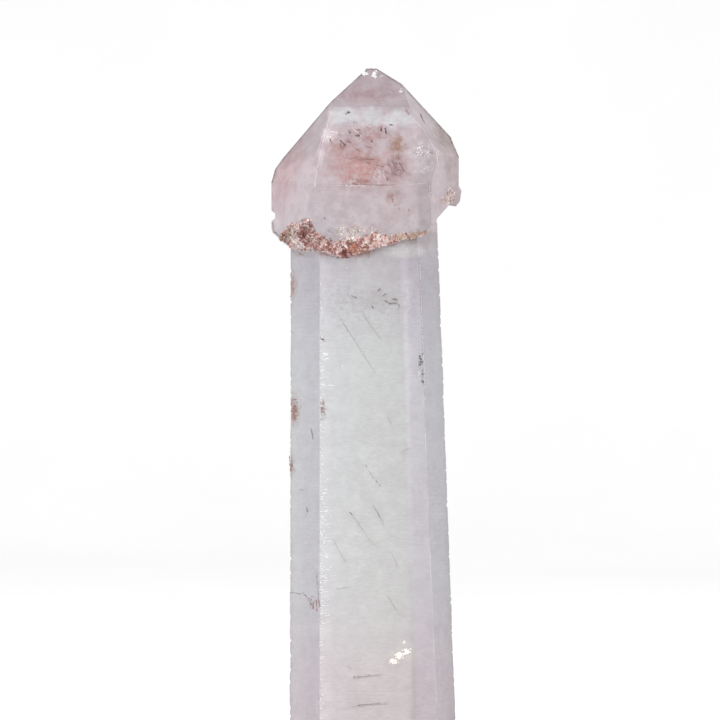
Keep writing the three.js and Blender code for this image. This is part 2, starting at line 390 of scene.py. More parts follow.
def stem_front(x, z):
    """Depth of the stem's front, all counted from the crystal's axis."""
    depths = []
    for direction, distance, flare in (STEM_FACES[0], STEM_FACES[1], STEM_FACES[5]):
        a = math.radians(direction)
        reach = distance + flare * (NECK_HEIGHT - z)
        depths.append((reach - x * math.cos(a)) / math.sin(a))
    return max(depths)


def on_skin(column, row, under=0.0):
    """The place on the crystal's front at a column and row of the picture, or so many mm under it."""
    x, _, z = from_picture(column, row, 0)
    front = head_front if row < np.interp(column, CRUST_COLUMNS, CRUST_FOOT_ROWS) else stem_front
    return np.array([x, front(x - AXIS_X, z) + AXIS_Y + under, z])


def on_crystal(place):
    """Whether a place of the crust lies on the head or on the stem under it, and not beside them."""
    if place[2] < CRUST_BASE:
        return True
    return all(n @ (place - AXIS - p) < ON_CRYSTAL for n, p in HEAD_PLANES)


# Grains and flakes: many small flat-faced lumps in one mesh

def lump_shapes(count, points_each):
    """A few irregular flat-faced lumps of about unit radius."""
    shapes = []
    for _ in range(count):
        bm = bmesh.new()
        for p in rng.normal(size=(points_each, 3)):
            p = p / np.linalg.norm(p) * (0.75 + 0.25 * rng.random())
            bm.verts.new(Vector(p))
        bmesh.ops.convex_hull(bm, input=bm.verts[:])
        loose = [v for v in bm.verts if not v.link_faces]
        bmesh.ops.delete(bm, geom=loose, context="VERTS")
        bmesh.ops.recalc_face_normals(bm, faces=bm.faces)
        bm.verts.index_update()
        corners = np.array([v.co[:] for v in bm.verts])
        faces = [[v.index for v in f.verts] for f in bm.faces]
        bm.free()
        shapes.append((corners, faces))
    return shapes


def random_turn():
    q = rng.normal(size=4)
    w, x, y, z = q / np.linalg.norm(q)
    return np.array([
        [1 - 2 * (y * y + z * z), 2 * (x * y - z * w), 2 * (x * z + y * w)],
        [2 * (x * y + z * w), 1 - 2 * (x * x + z * z), 2 * (y * z - x * w)],
        [2 * (x * z - y * w), 2 * (y * z + x * w), 1 - 2 * (x * x + y * y)],
    ])


def leaning(angle):
    """Turn in the plane of the picture, in degrees above level."""
    a = math.radians(angle)
    return np.array([[math.cos(a), 0, -math.sin(a)], [0, 1, 0], [math.sin(a), 0, math.cos(a)]])


def grains_object(name, grains, shapes, materials):
    """One mesh of many lumps. A grain is a centre, a three-way size, a turn or None, and a material index."""
    corners = []
    polygons = []
    picks = []
    base = 0
    for centre, size, turn, material in grains:
        shape, faces = shapes[int(rng.integers(len(shapes)))]
        placed = shape * np.asarray(size)
        placed = placed @ (random_turn() if turn is None else turn).T
        corners.append(placed + np.asarray(centre))
        polygons.extend([[i + base for i in face] for face in faces])
        picks.extend([material] * len(faces))
        base += len(shape)
    obj = make_object(name, np.concatenate(corners), polygons, materials=materials)
    obj.data.polygons.foreach_set("material_index", picks)
    return obj


def reach_of(faces, direction):
    """How far out a ring of upright faces is in one direction."""
    reach = math.inf
    for face in faces:
        turn = math.cos(math.radians(direction - face[0]))
        if turn > 0.05:
            reach = min(reach, face[1] / turn)
    return reach


RUST_DARK, RUST, TAN, OLIVE, ORANGE, PALE = range(6)
# Shares of dark, rust, pinkish tan, olive and orange grains, the rest being pale: over most of the crust, in
# its gaps, on the underside and on the side crystal. The gap mix is darker: rust, and painted shade in the
# crevices
CRUST_MIX = (0.08, 0.22, 0.42, 0.08, 0.0)
GAP_RUST_AND_SHADE_MIX = (0.22, 0.36, 0.36, 0.06, 0.0)
UNDER_MIX = (0.62, 0.30, 0.04, 0.04, 0.0)
SIDE_MIX = (0.02, 0.06, 0.22, 0.22, 0.0)
# Places with a mix of their own, at a column and row of the picture: radius in mm, shares
CRUST_SPOTS = [
    ((309, 243), 1.5, (0.20, 0.40, 0.30, 0.02, 0.02)),
    ((304, 236), 1.1, (0.72, 0.22, 0.04, 0.0, 0.02)),
    ((288, 233), 1.2, (0.14, 0.18, 0.12, 0.50, 0.02)),
    ((297, 244), 0.9, (0.02, 0.06, 0.50, 0.02, 0.06)),
    ((353, 248), 0.8, (0.14, 0.30, 0.06, 0.0, 0.48)),
    ((347, 255), 0.7, (0.52, 0.30, 0.12, 0.0, 0.0)),
    ((334, 250), 1.2, (0.16, 0.22, 0.36, 0.04, 0.02)),
    ((366, 243), 0.9, (0.08, 0.42, 0.30, 0.0, 0.04)),
    ((389, 246), 0.4, (0.30, 0.40, 0.24, 0.04, 0.02)),
    # lighter grains here, partly painted light that offsets the shadow under the head's rim
    ((385, 240), 1.3, (0.04, 0.14, 0.44, 0.04, 0.0)),
    ((370, 240), 0.8, (0.04, 0.26, 0.44, 0.02, 0.0)),
    ((275, 241), 0.9, (0.20, 0.10, 0.14, 0.50, 0.0)),
    ((351, 236), 0.9, (0.01, 0.03, 0.12, 0.12, 0.0)),
    ((412, 237), 1.5, (0.02, 0.08, 0.26, 0.48, 0.0)),
]

# Layers of grains on the front, the deepest first: count, smallest size, the rest of the range, how the sizes
# crowd to its small end, lift off the skin in sizes, thinning towards the top, mix
FRONT_LAYERS = [
    # the two deepest layers are darker grains: rust, and painted shade in the crevices between the grains above
    (900, 0.22, 0.12, 1.0, -0.1, 1.1, GAP_RUST_AND_SHADE_MIX),
    (900, 0.12, 0.14, 1.0, 0.0, 1.1, GAP_RUST_AND_SHADE_MIX),
    (420, 0.14, 0.26, 1.6, 0.2, 1.2, CRUST_MIX),
    (160, 0.06, 0.08, 1.0, 2.0, 1.4, CRUST_MIX),
]
# Column where the grains on the front begin, and columns that they run over
CRUST_LEFT = 280
CRUST_SPAN = 147
# Grains on the underside, round the back: how many, the first direction and the degrees that they run over
UNDER_GRAINS = 2600
UNDER_START = 25
UNDER_SPAN = 143
NEIGHBOUR_SHARE = 0.7  # of the grains, near in colour to those beside them
# Larger blocks of the crust: column, row, half width and half height in mm, colour
CRUST_BLOCKS = [
    (303, 236, 0.42, 0.36, RUST_DARK), (300, 240, 0.30, 0.25, RUST_DARK), (307, 233, 0.30, 0.22, RUST_DARK),
    (295, 241, 0.50, 0.36, PALE), (299, 245, 0.40, 0.24, PALE), (293, 246, 0.30, 0.20, TAN),
    (288, 233, 0.40, 0.20, OLIVE), (284, 237, 0.34, 0.20, OLIVE), (293, 228, 0.40, 0.22, OLIVE),
    (299, 229, 0.40, 0.26, TAN), (306, 226, 0.34, 0.22, OLIVE), (313, 238, 0.30, 0.38, TAN),
    (317, 243, 0.26, 0.30, RUST), (311, 246, 0.34, 0.26, RUST), (308, 241, 0.30, 0.26, RUST),
    (322, 247, 0.34, 0.30, TAN), (328, 249, 0.30, 0.26, RUST), (334, 247, 0.36, 0.32, TAN),
    (340, 251, 0.32, 0.34, RUST), (346, 246, 0.36, 0.44, PALE), (353, 247, 0.30, 0.50, ORANGE),
    (351, 243, 0.22, 0.20, ORANGE), (345, 256, 0.46, 0.24, RUST_DARK), (351, 254, 0.32, 0.20, RUST_DARK),
    (358, 246, 0.26, 0.42, RUST), (362, 246, 0.32, 0.32, TAN), (367, 242, 0.30, 0.42, TAN),
    (371, 238, 0.26, 0.36, RUST), (376, 236, 0.36, 0.30, TAN), (380, 243, 0.36, 0.26, PALE),
    (374, 243, 0.30, 0.30, TAN), (388, 244, 0.34, 0.20, RUST_DARK), (393, 241, 0.34, 0.26, RUST),
    (398, 238, 0.26, 0.22, TAN), (406, 237, 0.44, 0.22, OLIVE), (413, 237, 0.48, 0.22, OLIVE),
    (420, 237, 0.40, 0.18, OLIVE), (347, 238, 0.32, 0.24, PALE), (341, 240, 0.30, 0.22, TAN),
    (282, 235, 0.34, 0.16, OLIVE), (286, 236, 0.40, 0.16, RUST_DARK), (289, 240, 0.34, 0.22, PALE),
    (294, 247, 0.36, 0.20, PALE), (297, 243, 0.40, 0.26, TAN), (302, 247, 0.34, 0.22, TAN),
    (306, 243, 0.30, 0.26, RUST_DARK), (303, 232, 0.36, 0.26, RUST_DARK), (309, 236, 0.28, 0.34, TAN),
    (365, 250, 0.40, 0.20, PALE), (359, 253, 0.36, 0.20, PALE), (371, 247, 0.34, 0.20, PALE),
    (340, 256, 0.36, 0.22, TAN), (335, 254, 0.30, 0.20, RUST), (342, 246, 0.30, 0.26, RUST),
]
# Right of this column the loose grains lie on the side crystal, this far forward
SIDE_CRYSTAL_COLUMN = 446
SIDE_CRYSTAL_FRONT = -3.2
# Loose grains: columns, rows, count, smallest and largest in mm, mix
CRUST_SPRINKLES = [
    ((336, 368), (224, 242), 150, (0.06, 0.22), (0.02, 0.06, 0.16, 0.14, 0.0)),
    ((366, 384), (223, 240), 46, (0.05, 0.15), (0.10, 0.34, 0.34, 0.0, 0.0)),
    ((318, 336), (234, 244), 30, (0.05, 0.13), (0.14, 0.40, 0.30, 0.0, 0.0)),
    ((384, 408), (231, 240), 40, (0.05, 0.13), (0.04, 0.24, 0.46, 0.04, 0.0)),
    ((445, 463), (186, 208), 300, (0.08, 0.28), SIDE_MIX),
    ((439, 447), (195, 206), 60, (0.06, 0.20), (0.04, 0.12, 0.34, 0.30, 0.0)),
]
# Blades along ridges of the crust: first column and row, last column and row, colour
CRUST_RIDGES = [
    (279, 239, 285, 232, OLIVE), (285, 232, 293, 226, OLIVE), (293, 225, 302, 222, TAN),
    (302, 222, 310, 219, OLIVE), (310, 219, 313, 226, OLIVE), (313, 227, 318, 237, RUST),
    (283, 236, 291, 234, RUST_DARK), (291, 234, 300, 230, OLIVE), (300, 230, 309, 226, RUST_DARK),
    (282, 239, 290, 245, RUST_DARK), (296, 249, 305, 251, PALE), (305, 251, 325, 252, PALE),
    (291, 251, 299, 248, PALE), (299, 253, 304, 256, RUST), (325, 253, 338, 256, TAN),
    (338, 258, 350, 258, RUST_DARK), (351, 256, 358, 251, PALE), (371, 246, 384, 245, RUST_DARK),
    (384, 246, 396, 243, RUST), (396, 242, 403, 238, RUST_DARK), (318, 238, 334, 245, RUST),
    (403, 239, 424, 238, OLIVE),
]


def crust_colour(place, mix):
    """The colour of a grain, drawn from its mix or from the mix of the spot that it lies in."""
    for (column, row), radius, shares in CRUST_SPOTS:
        away = from_picture(column, row, 0) - place
        if place[1] < 0 and math.hypot(away[0], away[2]) < radius:
            mix = shares
    # most of the grains are near in colour to their neighbours
    x, y, z = place
    tone = 0.5 + 0.25 * math.sin(2.3 * x + 0.9 * y) * math.sin(2.9 * z + 0.6)
    tone += 0.25 * math.sin(4.7 * x - 3.3 * z)
    draw = rng.random()
    if rng.random() < NEIGHBOUR_SHARE:
        draw = tone
    for material, share in zip((RUST_DARK, RUST, TAN, OLIVE, ORANGE), mix):
        if draw < share:
            return material
        draw -= share
    return PALE


def make_crust(materials):
    grains = []

    def add_grain(place, size, slim, mix):
        shape = size * np.array([1.0, 1.0 - slim * rng.random(), 1.0 - slim * rng.random()])
        grains.append((place, shape, None, crust_colour(place, mix)))

    def add_under(direction, size, outward, lift, mix):
        """A grain on the underside, outward 0 at the stem and 1 at the rim."""
        inner = reach_of(STEM_FACES, direction) + 0.1
        outer = reach_of(HEAD_SIDES, direction) - 0.3 * size
        reach = inner + (outer - inner) * outward
        x = reach * math.cos(math.radians(direction))
        y = reach * math.sin(math.radians(direction))
        place = np.array([x + AXIS_X, y + AXIS_Y, underside_height(x, y) + lift])
        add_grain(place, size, 0.6, mix)

    def add_front(size, lift, fade, mix):
        """A grain on the front of the crust, thinning out towards its top."""
        column = CRUST_LEFT + CRUST_SPAN * rng.random()
        top = np.interp(column, CRUST_COLUMNS, CRUST_TOP_ROWS)
        foot = np.interp(column, CRUST_COLUMNS, CRUST_FOOT_ROWS) - 0.6 * size / SCALE
        row = foot + (top - foot) * rng.random() ** fade
        row += (rng.random() ** 4) * (rng.random() - 0.6) * 6
        add_grain(on_skin(column, row, -lift * size), size, 0.65, mix)

    for count, smallest, spread, crowding, lift, fade, mix in FRONT_LAYERS:
        for _ in range(count):
            add_front(smallest + spread * rng.random() ** crowding, lift, fade, mix)
    for column, row, width, height, colour in CRUST_BLOCKS:
        place = on_skin(column, row, -0.06)
        grains.append((place, (width, 0.3, height), leaning(40 * (rng.random() - 0.5)), colour))
    for left, top, right, bottom, colour in CRUST_RIDGES:
        slope = math.degrees(math.atan2(top - bottom, right - left))
        steps = max(2, int(math.hypot(right - left, bottom - top) / 2.2))
        for step in range(steps):
            share = (step + rng.random()) / steps
            place = on_skin(left + (right - left) * share, top + (bottom - top) * share, -0.2)
            blade = (0.16 + 0.22 * rng.random(), 0.14, 0.05 + 0.07 * rng.random())
            grains.append((place, blade, leaning(slope + 30 * (rng.random() - 0.5)), colour))
    for _ in range(UNDER_GRAINS):
        direction = UNDER_START + UNDER_SPAN * rng.random()
        size = 0.14 + 0.45 * rng.random() ** 2.4
        mix = UNDER_MIX if rng.random() < 0.35 else CRUST_MIX
        add_under(direction, size, rng.random() ** 0.7, 0.2 * rng.random() - 0.15, mix)
    for columns, rows, count, (small, large), mix in CRUST_SPRINKLES:
        for _ in range(count):
            u = np.clip(rng.normal(size=2) * 0.5, -0.95, 0.95)
            column = sum(columns) / 2 + u[0] * (columns[1] - columns[0]) / 2
            row = sum(rows) / 2 + u[1] * (rows[1] - rows[0]) / 2
            place = on_skin(column, row, 0.01)
            if column > SIDE_CRYSTAL_COLUMN:
                place[1] = min(place[1], SIDE_CRYSTAL_FRONT)
            add_grain(place, small + (large - small) * rng.random() ** 1.6, 0.5, mix)
    grains = [grain for grain in grains if grain[0][1] > 0 or on_crystal(grain[0])]
    return grains_object("rim_crust", grains, lump_shapes(24, 10), materials)


# Flakes, veils and cracks inside the crystal and just on its skin

def flake_cloud(cloud):
    """Thin flakes scattered round a middle. cloud is one row of HEAD_CLOUDS or STEM_CLOUDS."""
    (left, right), (top, bottom), (near, far), count, (small, large), flat, material = cloud
    grains = []
    for _ in range(count):
        u = np.clip(rng.normal(size=2) * 0.42, -1, 1)
        column = (left + right) / 2 + u[0] * (right - left) / 2
        row = (top + bottom) / 2 + u[1] * (bottom - top) / 2
        size = small + (large - small) * rng.random() ** 2
        shape = size * np.array([1.0, 0.55 + 0.4 * rng.random(), flat])
        place = on_skin(column, row, near + (far - near) * rng.random())
        grains.append((place, shape, None, material))
    return grains


# Materials

def new_material(name):
    material = bpy.data.materials.new(name)
    material.use_nodes = True
    tree = material.node_tree
    return material, tree, tree.nodes["Principled BSDF"]


def new_group(name, inputs, outputs):
    """An empty shader group with named sockets, what comes in and what goes out."""
    group = bpy.data.node_groups.new(name, "ShaderNodeTree")
    for sockets, side in ((inputs, "INPUT"), (outputs, "OUTPUT")):
        for socket, kind in sockets.items():
            group.interface.new_socket(name=socket, in_out=side, socket_type="NodeSocket" + kind)
    return group, group.nodes.new("NodeGroupInput").outputs, group.nodes.new("NodeGroupOutput").inputs


def add_node(tree, kind, inputs, **settings):
    """A new node. Each input is given a value, or the socket of another node to join it to."""
    node = tree.nodes.new("ShaderNode" + kind)
    for setting, value in settings.items():
        setattr(node, setting, value)
    for name, value in inputs.items():
        if isinstance(value, bpy.types.NodeSocket):
            tree.links.new(value, node.inputs[name])
        else:
            node.inputs[name].default_value = value
    return node


def object_place(tree):
    return add_node(tree, "TexCoord", {}).outputs["Object"]


def noise(tree, place, scale, detail, roughness=0.5):
    inputs = {"Vector": place, "Scale": scale, "Detail": detail, "Roughness": roughness}
    return add_node(tree, "TexNoise", inputs).outputs["Fac"]


def map_range(tree, value, low, high, at_low=0.0, at_high=1.0):
    inputs = {"Value": value, "From Min": low, "From Max": high, "To Min": at_low, "To Max": at_high}
    return add_node(tree, "MapRange", inputs).outputs["Result"]


def maths(tree, operation, *values, clamp=False):
    inputs = dict(enumerate(values))
    return add_node(tree, "Math", inputs, operation=operation, use_clamp=clamp).outputs["Value"]


def vector_maths(tree, operation, *values):
    node = add_node(tree, "VectorMath", dict(enumerate(values)), operation=operation)
    return node.outputs["Value" if operation == "LENGTH" else "Vector"]


def scaled(tree, colour, scale):
    return add_node(tree, "VectorMath", {0: colour, "Scale": scale}, operation="SCALE").outputs["Vector"]


def mixed(tree, factor, first, second, blend="MIX"):
    inputs = {"Factor": factor, "A": first, "B": second}
    return add_node(tree, "Mix", inputs, data_type="RGBA", blend_type=blend).outputs["Result"]


def colour_ramp(tree, value, stops):
    """Colours along a value. The first stop is at 0 and the last at 1."""
    ramp = add_node(tree, "ValToRGB", {"Fac": value})
    elements = ramp.color_ramp.elements
    elements[0].color = (*stops[0][1], 1)
    elements[1].color = (*stops[-1][1], 1)
    for position, colour in stops[1:-1]:
        elements.new(position).color = (*colour, 1)
    return ramp.outputs["Color"]


def mottle_group():
    """Two colours mixed in soft patches, with finer specks of a third."""
    group, inputs, outputs = new_group(
        "mottled colour",
        {
            "Ground": "Color",
            "Patches": "Color",
            "Specks": "Color",
            "Patch Scale": "Float",
            "Speck Scale": "Float",
            "Speck Amount": "Float",
        },
        {"Color": "Color", "Height": "Float"},
    )
    place = object_place(group)
    patches = map_range(group, noise(group, place, inputs["Patch Scale"], 5), 0.38, 0.62)
    specks = noise(group, place, inputs["Speck Scale"], 3)
    amount = maths(group, "MULTIPLY", map_range(group, specks, 0.56, 0.68), inputs["Speck Amount"])
    colour = mixed(group, patches, inputs["Ground"], inputs["Patches"])
    colour = mixed(group, amount, colour, inputs["Specks"])
    group.links.new(colour, outputs["Color"])
    group.links.new(specks, outputs["Height"])
    return group


MOTTLE = mottle_group()


def add_mottle(tree, ground, patches, specks, patch_scale, speck_scale, speck_amount):
    inputs = {
        "Ground": (*ground, 1),
        "Patches": (*patches, 1),
        "Specks": (*specks, 1),
        "Patch Scale": patch_scale,
        "Speck Scale": speck_scale,
        "Speck Amount": speck_amount,
    }
    return add_node(tree, "Group", inputs, node_tree=MOTTLE).outputs


def add_bump(tree, shader, height, strength, distance):
    inputs = {"Height": height, "Strength": strength, "Distance": distance * MM}
    bump = add_node(tree, "Bump", inputs)
    tree.links.new(bump.outputs["Normal"], shader.inputs["Normal"])


def mineral(name, ground, patches, specks, roughness, speck_amount=0.6, patch_scale=600, speck_scale=2600):
    """A dull, faintly mottled mineral."""
    material, tree, shader = new_material(name)
    colour = add_mottle(tree, ground, patches, specks, patch_scale, speck_scale, speck_amount)
    tree.links.new(colour["Color"], shader.inputs["Base Color"])
    shader.inputs["Roughness"].default_value = roughness
    shader.inputs["Specular IOR Level"].default_value = 0.3
    add_bump(tree, shader, colour["Height"], 0.5, 0.05)
    return material


def haze_group():
    """Mask of a soft cloud round a middle, with a ragged border: 1 inside, 0 outside."""
    group, inputs, outputs = new_group(
        "haze cloud",
        {
            "Middle": "Vector",
            "Size": "Vector",
            "Ragged": "Float",
            "Softness": "Float",
            "Noise Scale": "Float",
            "Strength": "Float",
            "Grain": "Float",
        },
        {"Mask": "Float"},
    )
    place = object_place(group)
    away = vector_maths(group, "SUBTRACT", place, inputs["Middle"])
    distance = vector_maths(group, "LENGTH", vector_maths(group, "DIVIDE", away, inputs["Size"]))
    wobble = maths(group, "SUBTRACT", noise(group, place, inputs["Noise Scale"], 6, 0.65), 0.5)
    border = maths(group, "MULTIPLY_ADD", wobble, inputs["Ragged"], distance)
    inside = maths(group, "SUBTRACT", 1.0, border)
    soft = maths(group, "DIVIDE", inside, inputs["Softness"], clamp=True)
    strong = maths(group, "MULTIPLY", soft, inputs["Strength"])
    group.links.new(maths(group, "MULTIPLY", strong, inputs["Grain"], clamp=True), outputs["Mask"])
    return group


HAZE = haze_group()
QUARTZ_IOR = 1.544

# Clouds of colour in the quartz: columns, rows, depths, colour, strength, ragged, softness, noise scale
HAZE_CLOUDS = [
    # head
    ((318, 432), (112, 225), (-10, -2), (0.60, 0.44, 0.44), 0.50, 1.6, 1.4, 350),
    ((258, 314), (112, 232), (-8, 6), (0.555, 0.36, 0.39), 0.82, 1.4, 1.0, 420),
    ((258, 304), (128, 205), (-8, 6), (0.55, 0.33, 0.35), 0.80, 2.2, 1.2, 600),
    ((276, 318), (120, 170), (-8, 6), (0.52, 0.32, 0.34), 0.60, 3.0, 1.2, 900),
    ((318, 400), (138, 200), (-10, -3), (0.57, 0.30, 0.27), 0.80, 2.6, 1.1, 700),
    ((330, 390), (146, 192), (-10, -3), (0.52, 0.25, 0.22), 0.80, 4.0, 1.1, 1200),
    ((344, 382), (166, 190), (-10, -3), (0.52, 0.21, 0.16), 0.90, 3.4, 1.0, 1200),
    ((346, 372), (156, 164), (-10, -3), (0.36, 0.17, 0.15), 0.80, 2.8, 0.8, 1400),
    ((350, 378), (180, 188), (-10, -3), (0.34, 0.15, 0.12), 0.85, 2.8, 0.8, 1400),
    ((380, 412), (152, 194), (-10, -3), (0.46, 0.28, 0.29), 0.80, 2.2, 1.0, 800),
    ((384, 408), (156, 190), (-10, -3), (0.28, 0.145, 0.145), 0.85, 4.8, 1.1, 1500),
    ((384, 402), (188, 210), (-10, -3), (0.38, 0.22, 0.20), 0.80, 3.6, 0.9, 1300),
    ((322, 358), (134, 162), (-10, -3), (0.42, 0.22, 0.20), 0.80, 4.0, 1.0, 1300),
    ((346, 398), (124, 146), (-10, -3), (0.44, 0.21, 0.20), 0.80, 4.0, 1.0, 1300),
    ((374, 390), (136, 156), (-10, -3), (0.66, 0.60, 0.62), 0.75, 2.0, 0.9, 900),
    ((388, 407), (131, 160), (-10, -3), (0.36, 0.19, 0.12), 0.98, 2.6, 0.8, 1100),
    ((428, 464), (112, 200), (-6, 4), (0.43, 0.30, 0.265), 0.88, 2.4, 1.0, 800),
    ((432, 450), (118, 150), (-6, 4), (0.36, 0.23, 0.20), 0.70, 3.4, 1.0, 1200),
    ((322, 432), (196, 240), (-10, -3), (0.56, 0.44, 0.44), 0.40, 4.4, 1.0, 1200),
    ((320, 430), (70, 106), (-8, 4), (0.60, 0.47, 0.51), 0.55, 2.0, 1.0, 600),
    ((330, 400), (84, 106), (-8, 2), (0.52, 0.32, 0.35), 0.70, 3.6, 1.0, 1100),
    # white patch under the crease
    ((324, 362), (104, 128), (-10, -2), (0.80, 0.84, 0.865), 0.85, 1.4, 0.5, 800),
    ((345, 395), (103, 129), (-10, -2), (0.80, 0.84, 0.865), 0.84, 1.4, 0.5, 800),
    ((378, 416), (105, 131), (-10, -2), (0.81, 0.84, 0.865), 0.85, 1.4, 0.5, 800),
    ((322, 342), (124, 142), (-10, -2), (0.90, 0.78, 0.80), 0.80, 2.4, 0.7, 1100),
    # painted highlights along the left and right edges of the head's front face
    ((325, 336), (106, 128), (-10, -2), (0.92, 0.84, 0.87), 0.80, 2.0, 0.8, 1300),
    ((320, 332), (122, 148), (-10, -2), (0.95, 0.86, 0.89), 0.90, 2.0, 0.8, 1300),
    ((316, 326), (142, 168), (-10, -2), (0.92, 0.82, 0.85), 0.75, 2.0, 0.8, 1300),
    ((311, 320), (164, 192), (-10, -2), (0.86, 0.76, 0.80), 0.60, 2.0, 0.8, 1300),
    ((409, 422), (118, 140), (-10, -2), (0.80, 0.70, 0.72), 0.70, 3.0, 0.8, 1300),
    ((426, 442), (138, 184), (-10, -2), (0.78, 0.70, 0.72), 0.70, 3.4, 0.8, 1300),
    ((410, 432), (142, 176), (-10, -2), (0.80, 0.76, 0.78), 0.70, 4.4, 0.7, 1300),
    # stains and cloudy places
    ((372, 436), (190, 236), (-10, -3), (0.66, 0.56, 0.55), 0.45, 3.4, 1.0, 1100),
    ((296, 440), (214, 262), (-10, 10), (0.58, 0.42, 0.40), 0.45, 3.4, 1.0, 1100),
    # painted light: a pale cloud that lifts the shadow under the head's rim at the right
    ((374, 436), (241, 260), (-10, -3), (0.88, 0.88, 0.88), 0.85, 0.8, 0.6, 600),
    # stained quartz between the grains of the crust
    ((282, 319), (225, 255), (-12, -3), (0.42, 0.235, 0.205), 0.95, 1.6, 0.4, 1300),
    ((280, 302), (232, 246), (-12, -3), (0.42, 0.31, 0.24), 0.85, 1.6, 0.4, 1300),
    ((312, 346), (242, 258), (-12, -3), (0.45, 0.26, 0.23), 0.95, 1.6, 0.4, 1300),
    ((338, 378), (240, 260), (-12, -3), (0.48, 0.27, 0.235), 0.95, 1.6, 0.4, 1300),
    ((372, 402), (236, 246), (-12, -3), (0.63, 0.46, 0.43), 0.90, 1.8, 0.5, 1300),
    ((336, 370), (222, 242), (-12, -3), (0.76, 0.66, 0.64), 0.70, 4.0, 0.7, 1300),
    ((326, 418), (284, 318), (-10, -3), (0.50, 0.48, 0.49), 0.60, 5.0, 0.8, 1500),
    ((285, 302), (392, 430), (-5, 4), (0.44, 0.27, 0.23), 0.90, 2.6, 0.8, 1500),
    ((286, 298), (268, 304), (-4, 4), (0.46, 0.30, 0.28), 0.80, 3.0, 0.7, 1500),
    ((286, 295), (455, 480), (-4, 4), (0.42, 0.28, 0.25), 0.80, 3.0, 0.7, 1500),
    ((382, 424), (638, 668), (-10, -4), (0.84, 0.77, 0.73), 0.60, 2.6, 1.0, 1300),
    ((300, 420), (640, 760), (-10, 10), (0.66, 0.57, 0.57), 0.50, 3.0, 1.0, 500),
    # back
    ((300, 380), (100, 220), (3, 12), (0.66, 0.50, 0.51), 0.60, 2.4, 1.0, 600),
    ((370, 440), (150, 235), (4, 12), (0.55, 0.38, 0.36), 0.60, 2.8, 1.0, 900),
    ((330, 420), (380, 430), (4, 12), (0.60, 0.56, 0.56), 0.40, 3.4, 1.0, 900),
]

# Painted light and shade across the stem, from 0 at its left corner to 1 at its right corner: darker side faces
# and brighter bands where light comes through the glass, with a faint lavender tint
STEM_PAINTED_SHADING = [
    (0.00, (0.68, 0.67, 0.73)),
    (0.191, (0.645, 0.63, 0.69)),
    (0.197, (1.00, 0.98, 1.00)),
    (0.235, (0.98, 0.965, 1.00)),
    (0.280, (0.90, 0.90, 0.93)),
    (0.34, (0.88, 0.88, 0.90)),
    (0.55, (0.84, 0.84, 0.84)),
    (0.742, (0.80, 0.79, 0.80)),
    (0.770, (0.93, 0.885, 0.96)),
    (0.871, (0.93, 0.885, 0.96)),
    (0.879, (0.62, 0.595, 0.65)),
    (1.00, (0.60, 0.575, 0.63)),
]
STEM_SHADING_GAIN = 1.2
# Tint up the crystal, from 0 at the foot to 1 at TINT_TOP: warm foot, grey-green stem, pink head
TINT_TOP = 100.0
HEIGHT_TINTS = [
    (0.00, (0.63, 0.575, 0.575)),
    (0.20, (0.66, 0.61, 0.61)),
    (0.32, (0.67, 0.67, 0.66)),
    (0.62, (0.66, 0.68, 0.67)),
    (0.72, (0.595, 0.585, 0.60)),
    (0.77, (0.56, 0.54, 0.56)),
    (0.80, (0.62, 0.56, 0.59)),
    (0.88, (0.60, 0.51, 0.54)),
    (0.94, (0.62, 0.54, 0.57)),
    (1.00, (0.60, 0.50, 0.53)),
]
# Heights between which the stem's painted light and shade fades out and the head's mottle sets in
STEM_SHADING_END = (74.5, 77.5)
HEAD_MOTTLE = (70.0, 80.0)
GROWTH_LINES = (1300, 1300, 4200)  # how closely they lie along x, y and z
OUTLINE_SHADE = 0.45  # brightness of the skin where it turns away at the outline
# The corner left of the front face: its x in mm, and its place in the painted light and shade
LEFT_CORNER = -6.0
LEFT_CORNER_SHADING = 0.195
# Width that the painted light and shade is spread over, in mm at the foot, and how much it narrows for each mm
# up
STEM_SHADING_SPAN = 23.28
STEM_SHADING_NARROWING = 0.060


def paint_stem_shading(tree, split, colour):
    """Multiplies the colour by the painted light and shade across the stem, weaker at the back and none in the
    head.
    """
    span = maths(tree, "MULTIPLY_ADD", split["Z"], -STEM_SHADING_NARROWING, STEM_SHADING_SPAN * MM)
    share = maths(tree, "DIVIDE", maths(tree, "SUBTRACT", split["X"], LEFT_CORNER * MM), span)
    across = maths(tree, "ADD", share, LEFT_CORNER_SHADING)
    # painted light and shade across the stem
    tint = scaled(tree, colour_ramp(tree, across, STEM_PAINTED_SHADING), STEM_SHADING_GAIN)
    front = map_range(tree, split["Y"], -3 * MM, 3 * MM, 1.0, 0.3)
    low, high = STEM_SHADING_END
    stem = map_range(tree, split["Z"], low * MM, high * MM, 1.0, 0.0)
    return mixed(tree, maths(tree, "MULTIPLY", front, stem), colour, tint, "MULTIPLY")


def add_haze(tree, colour, grain):
    """Lays each cloud of colour over the colour."""
    for columns, rows, depths, tint, strength, ragged, softness, scale in HAZE_CLOUDS:
        low = from_picture(columns[0], rows[1], depths[0])
        high = from_picture(columns[1], rows[0], depths[1])
        inputs = {
            "Middle": (low + high) / 2 * MM,
            "Size": (high - low) / 2 * MM,
            "Ragged": ragged,
            "Softness": softness,
            "Noise Scale": scale,
            "Strength": strength,
            "Grain": grain,
        }
        cloud = add_node(tree, "Group", inputs, node_tree=HAZE)
        colour = mixed(tree, cloud.outputs["Mask"], colour, (*tint, 1))
    return colour


